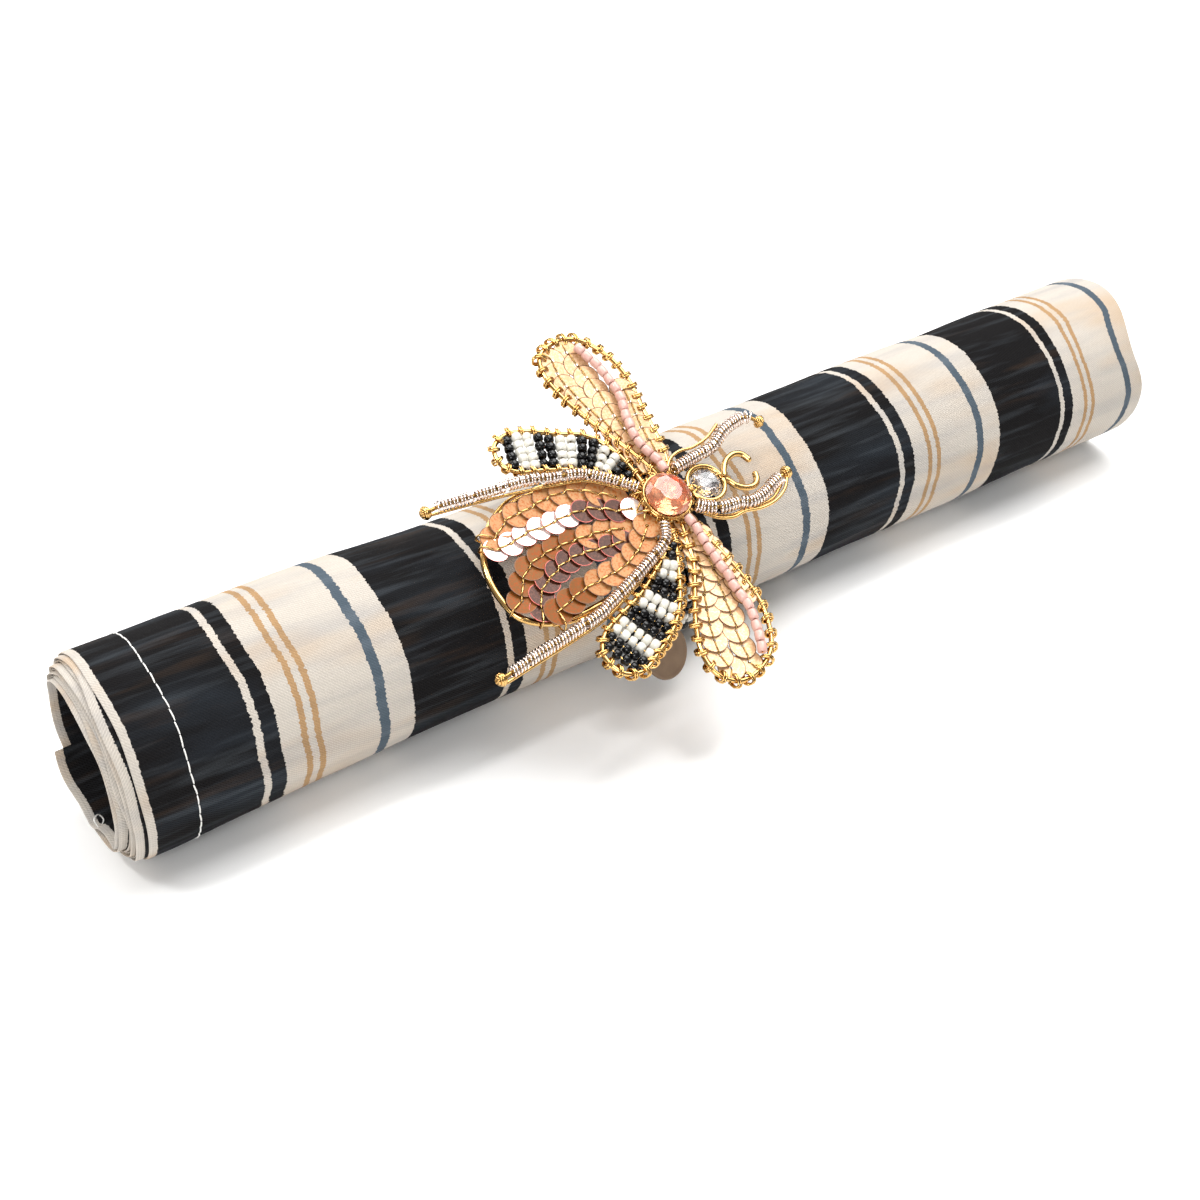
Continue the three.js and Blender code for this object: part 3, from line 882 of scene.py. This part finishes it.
# %% Disc
DISC_CENTRE = Vector((-19.8, -23.15, 9.0))
DISC_FACING = Vector((0.18, -0.87, 0.455)).normalized()
disc = spun([
    (-0.40, 0.0), (-0.40, 5.4), (-0.25, 5.75), (0.15, 5.8), (0.36, 5.62), (0.40, 5.3), (0.30, 4.95),
    (0.26, 4.6), (0.26, 0.0),
], 64, closed=False)
hung = axes(DISC_CENTRE, DISC_FACING, OUTWARDS)
disc_piece = finished(disc, "bronze_disc", [bronze], ["ring_disc"], hung)
edge_soft = disc_piece.modifiers.new("soft edge", "BEVEL")
edge_soft.width = 0.1 * METRES
edge_soft.segments = 2

# %% [markdown]
# ## Wings, abdomen and limbs
#
# These outlines and lines lie in the insect's own plane: u towards the head, v towards the upper side,
# in mm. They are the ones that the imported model's wires and fields follow.

# %% Outlines
WINGS = {
    "fore_wing_upper": [
        (1.6, 2.9), (0.6, 6.5), (-1.4, 12), (-4.2, 18), (-7.6, 26.6), (-8.8, 33.5), (-7.4, 38), (-3, 40),
        (2, 39.3), (6, 34.5), (7.6, 27.6), (6.7, 20), (6, 13), (5, 8.3), (3.4, 4.4),
    ],
    "fore_wing_lower": [
        (0.4, -5.1), (-1.3, -9), (-2.9, -14.4), (-6.2, -20), (-9.9, -25.9), (-12.3, -32), (-11.9, -36.8),
        (-8.5, -39.8), (-3.9, -39.5), (0.8, -37), (3.6, -32.5), (5, -27), (4.6, -20), (3.3, -13), (2.2, -8),
    ],
    "hind_wing_upper": [
        (-3.4, 3.4), (-3.4, 8.5), (-5.4, 15), (-8.6, 18.5), (-13.5, 20.6), (-18.5, 23.2), (-23.5, 24.2),
        (-27, 22.6), (-27.8, 19), (-25.5, 16), (-20, 14.3), (-14, 12), (-8.8, 8.8), (-5.2, 5),
    ],
    "hind_wing_lower": [
        (-3.1, -5.1), (-5.6, -9.4), (-11.3, -13.3), (-17, -16.5), (-23, -18.7), (-27.7, -20.8),
        (-30.3, -24.5), (-28.8, -29), (-25.3, -30.3), (-20, -28.2), (-15.4, -25.7), (-11.5, -22.3),
        (-8.3, -17.7), (-6, -13.4), (-3.7, -8.6),
    ],
}
ABDOMEN = [
    (-5.6, -1), (-6.4, -5.6), (-10.2, -10.6), (-16.8, -13.7), (-23.8, -14.7), (-30.6, -15.1),
    (-36.2, -14.2), (-40.6, -10.9), (-42, -5.5), (-41.5, 0), (-39.3, 4.6), (-35.3, 8.4), (-30, 10.6),
    (-24, 11), (-18, 10.4), (-12, 7.6), (-7.6, 3.4),
]
LEGS = {
    "front_leg_upper": [
        (3.4, 3.9), (5.6, 4.3), (10, 4.9), (14.6, 5.7), (18.4, 7.8), (22, 8.8), (25.4, 9), (27.4, 7),
    ],
    "front_leg_lower": [
        (3.2, -4.6), (5.7, -6.2), (9, -7.2), (12.5, -7.4), (15.1, -8.2), (19.2, -7.5), (22.9, -6.2),
        (26, -5.4),
    ],
    "hind_leg_upper": [
        (-5.6, 3.1), (-9.9, 6.8), (-14.6, 10), (-20.5, 11.5), (-26.2, 12.7), (-32.3, 13.3), (-38.5, 13.6),
        (-44.4, 14), (-47.6, 13.7),
    ],
    "hind_leg_lower": [
        (-5.1, -5.6), (-6.8, -8.8), (-11.9, -11.4), (-17.3, -13.7), (-26.7, -17.2), (-33, -18.5),
        (-38.5, -19.4), (-43.2, -20.1), (-51.4, -21.5),
    ],
}
FEELERS = {
    "antenna_upper": [
        (13.4, -0.9), (13.9, 0.0), (14.6, 0.9), (15.9, 2.1), (18.3, 2.8), (19.9, 2.2), (20.7, 0.6),
    ],
    "antenna_lower": [
        (13.3, -1.6), (13.9, -2.4), (14.5, -3.5), (16.2, -4.8), (18.3, -5.1), (19.6, -4.2), (20.1, -2.9),
    ],
}

# %% [markdown]
# ## Wing frames
#
# Each wing is bent from one gold wire, and a thinner wire is lashed round it every few millimetres. The
# lashings are loose: each is a slanted, opened loop or two that stands out a little at both sides.

# %% Lashed wire
LOOP_STEPS = 12


def lashing(course, spacing, reach, turns, draw, start=0.8, end=None):
    """Loops of thin wire round a course. reach is how far a loop stands out sideways."""
    lines = []
    distance = start
    end = course.length - 0.8 if end is None else end
    while distance < end:
        width = reach * draw.uniform(0.88, 1.1)
        slant, opening = draw.uniform(0.15, 0.55), draw.uniform(0.30, 0.60)
        count = LOOP_STEPS * turns
        line = []
        for i in range(count + 1):
            turn = 2 * math.pi * (turns * i / count) - math.pi / 2
            here = distance + 0.45 * turns * (i / count - 0.5)
            here += slant * math.cos(turn) + opening * math.sin(turn)
            aside = course.side(here) * width * math.cos(turn)
            line.append(course.at(here) + aside + OUTWARDS * 0.78 * math.sin(turn))
        lines.append(line)
        distance += spacing * draw.uniform(0.9, 1.1)
    return lines


LASHINGS = {
    # distance between lashings, reach, seed
    "fore_wing_upper": (2.7, 1.30, 20), "fore_wing_lower": (2.9, 1.25, 21),
    "hind_wing_upper": (2.5, 1.20, 30), "hind_wing_lower": (2.5, 1.20, 31),
}
for wing, (spacing, reach, seed) in LASHINGS.items():
    course = Course(WINGS[wing], closed=True)
    made = bmesh.new()
    wires(made, [course.line], 0.52, 2, closed=True)
    wires(made, lashing(course, spacing, reach, 2, random.Random(seed)), 0.24)
    finished(made, wing + "_wire", [gold_wire], [wing + "_frame"])

# %% [markdown]
# ## Sequins
#
# A sequin is a thin, nearly flat disc of foil with a hole. It is spun from a short profile and given a
# little thickness. Along a row each one lies on the one before, like roof tiles, so its far edge is
# lifted. One wire goes from hole to hole: it climbs the next sequin's edge, runs over it and dives in.

# %% Sequin templates
HOLE, CUP, FOIL = 0.40, 0.03, 0.09
SEQUINS = {
    # radius, distance along a row
    "large": (2.95, 3.5),
    "middle": (2.6, 3.3),
    "wing": (2.75, 3.2),
}


def sequin(radius, name):
    rings = [HOLE, 0.5 * radius, 0.86 * radius, 0.95 * radius, radius]
    made = spun([(CUP * (r / radius) ** 2, r) for r in rings], 24, closed=False)
    bmesh.ops.solidify(made, geom=made.faces, thickness=FOIL)
    for face in made.faces:
        # rim faces take the next finish; on peach and rust sequins that is a dark brown rim, partly painted
        # shade
        if face.calc_center_median().yz.length > 0.945 * radius:
            face.material_index = 1
    bmesh.ops.rotate(made, matrix=Matrix.Rotation(math.radians(-90), 3, "Y"), verts=made.verts)
    bmesh.ops.recalc_face_normals(made, faces=made.faces)
    return template(made, name)


sequin_shapes = {size: sequin(radius, size + "_sequin") for size, (radius, _) in SEQUINS.items()}


# %% A row of sequins and its wire
def tie(first, radius, frame_line):
    """From a row's first hole over the rim of its sequin and the frame, and down behind the frame."""
    fixing = frame_line.nearest(first)
    gap = (fixing - first) * Vector((1, 1, 0))
    outwards = gap.normalized()
    points = [first - OUTWARDS * 0.2, first + outwards * 0.5 + OUTWARDS * 0.4]
    points.append(first + outwards * radius + OUTWARDS * 0.6)
    if gap.length > radius:
        points.append(fixing + OUTWARDS * 0.8)
    points.append(fixing + outwards * max(0.85, radius + 0.3 - gap.length))
    points.append(fixing + outwards * 0.3 - OUTWARDS * 0.78)
    return Course(points).line


def sequin_row(made, stops, size, finishes, draw, wire, w, frame_line, tilt=8.0):
    """Sews sequins along a line, far end first. The last finish goes on for the rest of the row."""
    radius, pitch = SEQUINS[size]
    course = Course(stops, w=w)
    count = round(course.length / pitch) + 1
    pitch = course.length / (count - 1)
    line = []
    for i in range(count):
        lean = math.radians(tilt + draw.uniform(-1.5, 1.5))
        distance = pitch * i
        along, aside = course.heading(distance), course.side(distance)
        down = along * math.cos(lean) - OUTWARDS * math.sin(lean)
        up = OUTWARDS * math.cos(lean) + along * math.sin(lean) + aside * draw.uniform(-0.07, 0.07)
        centre = course.at(distance) + aside * draw.uniform(-0.15, 0.15)
        put_in(made, sequin_shapes[size], axes(centre, down, up), finishes[min(i, len(finishes) - 1)])
        if i:
            line.append(centre - down * min(radius, pitch - 0.4) + up * 0.30)
            line.append(centre - down * 0.5 + up * 0.26)
        line.append(centre - up * 0.15)
        line.append(centre + down * 0.3 + up * 0.05)
    wires(made, [line, tie(line[0], radius, frame_line)], wire)


# %% [markdown]
# ## Abdomen
#
# A bare gold wire is bent to an egg shape and five rows of sequins hang between it and the stone: an
# upper row in matte peach, a row of pink mirrors, an arc of rust and peach, a mauve row, and a long arc
# of rust and peach that ends beside the stone.

# %% Abdomen wire and rows
BESIDE_ABDOMEN = [
    [(-10.4, -11.3), (-16.8, -14.6), (-23.8, -15.8), (-30.6, -16.0), (-35.6, -15.0)],
    [(-38.3, 6.5), (-35.0, 9.3), (-30, 11.6), (-24, 12.0), (-18, 11.2), (-12, 8.4)],
]
abdomen_line = Course(ABDOMEN, closed=True, w=-1.05)
abdomen_wire = bmesh.new()
wires(abdomen_wire, [abdomen_line.line], 0.70, 2, closed=True)
for stops in BESIDE_ABDOMEN:
    wires(abdomen_wire, [Course(stops, w=-0.9).line], 0.32)
finished(abdomen_wire, "abdomen_wire", [gold_wire], ["abdomen_frame"])

# each sequin takes the named finish on its face and the next one in the list on its edge; the peach and
# rust edge is dark brown, partly painted shade
PEACH, RUST, ROSE, MAUVE = 1, 3, 5, 7
ROW_FINISHES = [gold_wire] + [sequin_foils[name] for name in (
    "peach_matte", "peach_rim_and_painted_shade", "rust_matte", "peach_rim_and_painted_shade", "rose_mirror", "rose_edge", "mauve_mirror",
    "rose_edge",
)]
# points from the far end to the stone, size, finish for each sequin
UPPER_ROWS = [
    ([(-37.2, 4.6), (-32.9, 7.2), (-27.3, 7.9), (-20.3, 8.3), (-16.1, 7.3), (-13, 5.6), (-10.2, 3.6)],
     "large", [PEACH]),
    ([(-38.4, 2.4), (-34.2, 2.6), (-30.2, 3.2), (-26.3, 3.1), (-22.6, 3.5), (-19, 3.4), (-16, 2.9),
      (-13.4, 1.8), (-11.1, 0.6), (-8.6, 0.1)], "middle", [ROSE] * 6 + [MAUVE] * 3 + [ROSE]),
]
LOWER_ROWS = [
    ([(-39.0, -8.8), (-36.6, -5.2), (-32.9, -2.7), (-28.1, -1.7), (-23.3, -1.6), (-19.6, -1.8),
      (-16.1, -2.4), (-12.6, -3.2)], "large", [RUST] * 6 + [PEACH]),
    ([(-36.6, -12.0), (-34.8, -8.9), (-32.1, -7.0), (-28.6, -5.6), (-24.8, -4.9), (-21.2, -5.0),
      (-17.6, -5.4), (-13.9, -5.4)], "middle", [MAUVE]),
    ([(-34.0, -13.6), (-30.5, -12.6), (-26.9, -11.5), (-21.9, -11.0), (-17.7, -10.3), (-14.2, -9.1),
      (-10.9, -7.1), (-7.9, -4.4)], "large", [RUST] * 3 + [PEACH]),
]
for half, rows, seed in (("upper", UPPER_ROWS, 41), ("lower", LOWER_ROWS, 42)):
    draw = random.Random(seed)
    made = bmesh.new()
    for layer, (stops, size, finishes) in enumerate(rows):
        sequin_row(made, stops, size, finishes, draw, 0.20, 0.35 + 0.2 * layer, abdomen_line)
    node = f"abdomen_{half}_sequins"
    finished(made, f"abdomen_rows_{half}", ROW_FINISHES, [node])

# %% [markdown]
# ## Fore wings
#
# Two long rows of satin peach sequins fill each fore wing behind a string of pink bugle beads, and a
# shorter row lies in front of it. Their wire is darker and ends in a small hook.

# %% Fore wing fillings
WING_ROWS = {
    "upper": [
        [(-5.3, 36.4), (-5.9, 32.5), (-5, 26.6), (-2.8, 19.4), (-1.1, 13.4), (0.6, 8.4), (1.8, 5)],
        [(-1.4, 37), (-0.9, 32.5), (-0.3, 26.6), (-0.2, 20.5), (0.2, 16), (1.1, 11), (2, 7)],
        [(4.9, 25), (4.6, 20.5), (3.8, 15), (3.4, 10.2), (3.1, 6.6)],
    ],
    "lower": [
        [(-8.6, -36.8), (-9.2, -33), (-7.3, -27), (-4.4, -20.6), (-1.8, -14.6), (-0.2, -9.6), (0.6, -6.4)],
        [(-4.6, -37.2), (-3.9, -33.4), (-2.3, -27.4), (-0.9, -21), (0, -16), (0.4, -11)],
        [(2.6, -24.5), (2.7, -20), (2.2, -14.5), (1.7, -10)],
    ],
}
BEAD_STRINGS = {
    "upper": [(0.1, 37), (2.1, 31.7), (2.8, 25), (1.6, 19), (0.6, 14.6), (1, 10.2), (2, 7.2), (2.3, 4.6)],
    "lower": [
        (-1.9, -37), (-1, -35), (0.5, -31.3), (1.3, -27.3), (1.1, -23.7), (1.1, -19.6), (0.9, -16),
        (0.8, -12), (0.8, -8.2), (0.4, -5.8),
    ],
}
BUGLE_PITCH, STRING_STEPS = 2.16, 40


def shaken(draw, *reach):
    return Vector([draw.uniform(-most, most) for most in reach])


def fore_wing(side, seed):
    draw = random.Random(seed)
    wing = "fore_wing_" + side
    frame_line = Course(WINGS[wing], closed=True)
    made = bmesh.new()
    for layer, stops in enumerate(WING_ROWS[side]):
        sequin_row(made, stops, "wing", [1], draw, 0.14, -0.12 + 0.12 * layer, frame_line, 7.0)
    finishes = [stitch_wire, sequin_foils["peach_satin"], sequin_foils["peach_rim_and_painted_shade"]]
    finished(made, wing + "_rows", finishes, [wing + "_sequins"])

    made = bmesh.new()
    string = Course(BEAD_STRINGS[side], w=1.55)
    count = int(string.length / BUGLE_PITCH)
    for i in range(count):
        distance = string.length * (i + 0.5) / count
        bend = shaken(draw, 0.09, 0.09, 0.06)
        centre = string.at(distance) + 1.4 * bend
        put_in(made, bugle_bead, axes(centre, string.heading(distance) + bend, OUTWARDS), 1)
    wires(made, [[string.at(string.length * i / STRING_STEPS) for i in range(STRING_STEPS + 1)]], 0.16)
    finished(made, wing + "_string", [gold_wire, pink_bead], [wing + "_beads"])


fore_wing("upper", 51)
fore_wing("lower", 52)

# %% [markdown]
# ## Hind wings
#
# Short wires cross each hind wing with a few seed beads on each. The beads are counted from the width
# between the two sides of the frame, so that they fill it and stay inside.

# %% Hind wing fillings
HIND_WING_MIDDLES = {
    "hind_wing_upper": [(-4.6, 7.2), (-7.2, 12.4), (-12, 16.0), (-18.5, 18.9), (-24.6, 20.6)],
    "hind_wing_lower": [(-5.6, -9.8), (-10.6, -16.2), (-16.6, -21.0), (-22.6, -24.2), (-27.4, -26.2)],
}
ROW_PITCH, SEED_PITCH, FRAME_ROOM = 2.02, 1.8, 0.9


def reach_across(outline, centre, across_way):
    """Distances from a point to both sides of a closed outline."""
    along_way = Vector((-across_way.y, across_way.x, 0))
    hits = []
    for a, b in zip(outline.ring, outline.ring[1:]):
        low, high = (a - centre).dot(along_way), (b - centre).dot(along_way)
        if low * high < 0:
            hits.append(a.lerp(b, low / (low - high)))
    offsets = [(hit - centre).dot(across_way) for hit in hits]
    return max(o for o in offsets if o < 0), min(o for o in offsets if o > 0)


def hind_wing(wing, seed):
    draw = random.Random(seed)
    outline = Course(WINGS[wing], closed=True)
    middle = Course(HIND_WING_MIDDLES[wing])
    made = bmesh.new()
    rows = int(middle.length / ROW_PITCH)
    for row in range(rows + 1):
        distance = middle.length * row / rows
        centre, way = middle.at(distance), middle.side(distance)
        low, high = reach_across(outline, centre, way)
        wires(made, [[centre + way * low, centre + way * high]], 0.14)
        room = high - low - FRAME_ROOM
        count = max(1, round(room / SEED_PITCH))
        for k in range(count):
            offset = (low + high) / 2 + (k - (count - 1) / 2) * room / count
            place = centre + way * offset + OUTWARDS * draw.uniform(-0.15, 0.3)
            lean = way + shaken(draw, 0.2, 0.2, 0.15)
            size = Matrix.Scale(draw.uniform(0.9, 1.02), 4)
            put_in(made, seed_bead, axes(place, lean, OUTWARDS) @ size, 1 + row // 2 % 2)
    finishes = [gold_wire, black_bead, ivory_bead]
    finished(made, wing + "_seed_beads", finishes, [wing + "_beads"])


hind_wing("hind_wing_upper", 61)
hind_wing("hind_wing_lower", 62)

# %% [markdown]
# ## Legs
#
# A leg is a gold wire threaded through short lengths of coiled wire, like a tiny spring, with a second
# wire beside it. The end is wound into a little knot. The coils are cut unevenly, so there are small
# gaps between them and they don't quite line up.

# %% Coils and knots
TURN_STEPS, COIL_PITCH = 10, 0.74
KNOT_STEPS, KNOT_TURNS = 60, 5
FRONT_THICKNESS, HIND_THICKNESS = 1.3, 1.12


def coil(course, start, end, radius, shift, draw):
    turns = (end - start) / COIL_PITCH
    count = int(turns * TURN_STEPS)
    line = []
    for i in range(count + 1):
        if i % TURN_STEPS == 0:
            slip = draw.uniform(-0.13, 0.13)
        share = i / count
        turn = 2 * math.pi * turns * share
        here = start + (end - start) * share + slip * math.sin(turn)
        way = course.side(here) * math.cos(turn) + OUTWARDS * math.sin(turn)
        line.append(course.at(here) + shift + way * radius)
    return line


def knot(centre, along, size):
    """A wire end wound into a small ball."""
    side = along.cross(OUTWARDS).normalized()
    line = []
    for i in range(KNOT_STEPS + 1):
        share = i / KNOT_STEPS
        bulge = size * math.sin(math.pi * (0.12 + 0.82 * share))
        turn = 2 * math.pi * KNOT_TURNS * share
        middle = centre + along * size * 1.5 * (share - 0.5)
        line.append(middle + (side * math.cos(turn) + OUTWARDS * math.sin(turn)) * bulge)
    return line


core = bmesh.new()
bmesh.ops.create_icosphere(core, subdivisions=2, radius=1.0)
knob_core = template(core, "knob_core")


# %% Four legs
def leg(name, seed):
    draw = random.Random(seed)
    thickness = FRONT_THICKNESS if "front" in name else HIND_THICKNESS
    course = Course(LEGS[name], w=2.05)
    made = bmesh.new()
    wires(made, [course.line], 0.42, finish=2)
    distance = 0.2
    while distance < course.length - 2.6:
        reach = min(draw.uniform(3.0, 7.5), course.length - 2.2 - distance)
        shift = course.side(distance) * draw.uniform(-0.18, 0.18) + OUTWARDS * draw.uniform(-0.1, 0.1)
        radius = thickness * draw.uniform(0.86, 0.98)
        wires(made, [coil(course, distance, distance + reach, radius, shift, draw)], 0.23, finish=1)
        distance += reach + draw.uniform(0.3, 0.7)
    end = course.length
    wires(made, [knot(course.at(end), course.heading(end - 0.4), 1.15)], 0.30)
    put_in(made, knob_core, Matrix.Translation(course.at(end)))
    for stops in SIDE_WIRES[name]:
        wires(made, [Course(stops).line], 0.36)
    finished(made, name + "_coil", [gold_wire, coiled_wire, stitch_wire], [name])


SIDE_WIRES = {
    "front_leg_upper": [
        [(2.8, 4.9, 1.4), (4.6, 6.6, 1.4), (7.2, 7.4, 1.5), (10.5, 7.2, 1.5), (14.6, 8, 1.6),
         (18.4, 9.9, 1.8)],
    ],
    "front_leg_lower": [
        [(4.1, -6.7, 1.6), (6.7, -8.8, 1.5), (9.8, -9.8, 1.5), (12.4, -9.6, 1.6), (16.7, -10.3, 1.6),
         (20.6, -9.9, 1.7), (23.8, -8.3, 1.9), (25.8, -6.0, 2.0)],
        [(4.6, -6.0, 1.2), (6.9, -8.0, 1.1), (9.8, -9.0, 1.0), (12.6, -9.2, 1.2), (16.4, -9.5, 1.2),
         (20.2, -9.2, 1.4), (23.4, -7.4, 1.7)],
    ],
    "hind_leg_upper": [
        [(-7.4, 3.7, 1.2), (-14.2, 8.7, 1.0), (-20.5, 10.2, 1.0), (-30, 11.7, 1.1), (-40, 12.6, 1.4),
         (-46.6, 13.0, 1.9)],
    ],
    "hind_leg_lower": [
        [(-8.6, -10.8, 1.2), (-17.2, -14.8, 1.0), (-26.4, -18.4, 1.1), (-36, -20.2, 1.4), (-44, -21.4, 1.6),
         (-50.6, -22.4, 1.9)],
    ],
}
for seed, name in enumerate(LEGS, 70):
    leg(name, seed)

# %% [markdown]
# ## Head
#
# Two turns of gold wire hold a small clear stone, and the feelers are bent from the same wire. A short
# pin goes through the hole near the stone's edge.

# %% Head and feelers
HEAD = (8.9, -0.8)
NEAR_PIN = [(5.2, -1.7, 1.3), (6.2, -1.5, 1.9), (6.9, -1.3, 1.6), (6.9, -1.2, 0.6)]
FAR_PIN = [(11.0, 0.0, 1.5), (12.0, -0.5, 2.0), (13.4, -1.1, 1.6), (14.3, -1.4, 1.0)]
FEELER_RADIUS = 0.68


def turned(centre, radius, angle, w):
    return Vector((centre[0] + radius * math.cos(angle), centre[1] + radius * math.sin(angle), w))


def ring_line(centre, radius, w, count=40):
    return [turned(centre, radius, 2 * math.pi * i / count, w) for i in range(count)]


head = bmesh.new()
wires(head, [ring_line(HEAD, 4.0, 1.0)], 0.5, 2, closed=True)
wires(head, [ring_line((HEAD[0] + 0.15, HEAD[1] - 0.1), 3.75, 0.35)], 0.34, closed=True)
wires(head, [Course(NEAR_PIN).line], 0.22)
wires(head, [Course(FAR_PIN).line], 0.24)
neck = Course([(3.0, -0.9, 0.7), (5.6, -0.9, 0.9)])
wires(head, lashing(neck, 0.55, 0.9, 1, random.Random(81), 0.2, neck.length), 0.24)
wires(head, [neck.line], 0.5)
finished(head, "head_wire", [gold_wire], ["head_ring"])

for name, stops in FEELERS.items():
    line = Course(stops, w=1.0).line
    feeler = bmesh.new()
    wires(feeler, [line], FEELER_RADIUS, 2)
    put_in(feeler, knob_core, Matrix.Translation(line[-1]) @ Matrix.Scale(FEELER_RADIUS, 4))
    finished(feeler, name + "_wire", [gold_wire], [name])

# %% [markdown]
# ## Stones
#
# A cut stone is the tightest skin round a few rings of corners: the girdle, rings of facets and the
# flat table on top. The convex hull operator stretches that skin, and flat shading keeps the facets.

# %% Cut stones
THORAX = (-1.2, -0.8)


def cut_stone(name, centre, rings, finish, node):
    """rings: radius, height, corners, and turn as a share of the step between corners."""
    made = bmesh.new()
    for radius, w, corners, offset in rings:
        for i in range(corners):
            made.verts.new(turned(centre, radius, 2 * math.pi * (i + offset) / corners, w))
    skin = bmesh.ops.convex_hull(made, input=made.verts)
    loose = {g for g in skin["geom_interior"] + skin["geom_unused"] if isinstance(g, bmesh.types.BMVert)}
    bmesh.ops.delete(made, geom=list(loose), context="VERTS")
    bmesh.ops.dissolve_limit(made, angle_limit=math.radians(1), verts=made.verts, edges=made.edges)
    bmesh.ops.recalc_face_normals(made, faces=made.faces)
    finished(made, name, [finish], [node], crease=1)


cut_stone("thorax_gem", THORAX, [
    (0.3, 0.35, 6, 0), (2.6, 1.35, 10, 0.5), (4.7, 2.75, 20, 0), (4.75, 3.15, 20, 0), (4.3, 3.75, 10, 0.5),
    (3.5, 4.35, 10, 0), (2.4, 4.74, 10, 0.5), (2.3, 4.76, 10, 0.5),
], orange_stone, "thorax_stone")
cut_stone("head_gem", HEAD, [
    (1.2, 0.15, 8, 0), (3.1, 0.9, 20, 0), (3.15, 1.25, 20, 0), (2.7, 1.8, 10, 0.5), (1.9, 2.3, 10, 0),
    (1.0, 2.42, 6, 0),
], clear_stone, "head_stone")

# %% [markdown]
# ## Wire nest under the stone
#
# All frames and limbs meet under the stone, where wire is wound round and round until it holds. A flat
# coil lies on the beads, four turns stand on it, a collar of three carries the stone, and loops tie them
# together. The stone sits in a shallow cup of bright foil, which throws light back through it.

# %% Wire nest
TIES = 22
nest = bmesh.new()
flat_coil = [turned(THORAX, 6.3 * (1 - i / 400), math.radians(10 * i), -2.45) for i in range(361)]
wires(nest, [flat_coil], 0.36)
wires(nest, [ring_line(THORAX, 3.6, w) for w in (-1.8, -1.1, -0.4, 0.3)], 0.42, closed=True)
wires(nest, [ring_line(THORAX, r, w) for r, w in ((4.7, 1.1), (4.95, 1.7), (4.9, 2.3))], 0.30, closed=True)
draw = random.Random(91)
ties = []
for i in range(TIES):
    a = 2 * math.pi * (i + draw.uniform(-0.3, 0.3)) / TIES
    reach = draw.uniform(5.6, 7.4)
    b = a + draw.uniform(-0.35, 0.35)
    ties.append(Course([
        turned(THORAX, 3.7, a, 0.2),
        turned(THORAX, 5.2, a, draw.uniform(1.4, 2.2)),
        turned(THORAX, reach, b, draw.uniform(-0.2, 1.0)),
        turned(THORAX, 5.0, b, -1.6),
    ]).line)
wires(nest, ties, 0.22)
seat = template(spun([
    (-2.2, 0.0), (-2.2, 3.2), (1.2, 3.5), (2.4, 4.5), (2.3, 4.3), (0.9, 2.4), (0.1, 0.0),
], 24, closed=False), "seat")
put_in(nest, seat, axes(Vector((*THORAX, 0)), OUTWARDS, Vector((1, 0, 0))), 1)
finished(nest, "thorax_wires", [gold_wire, foil], ["thorax_core"])
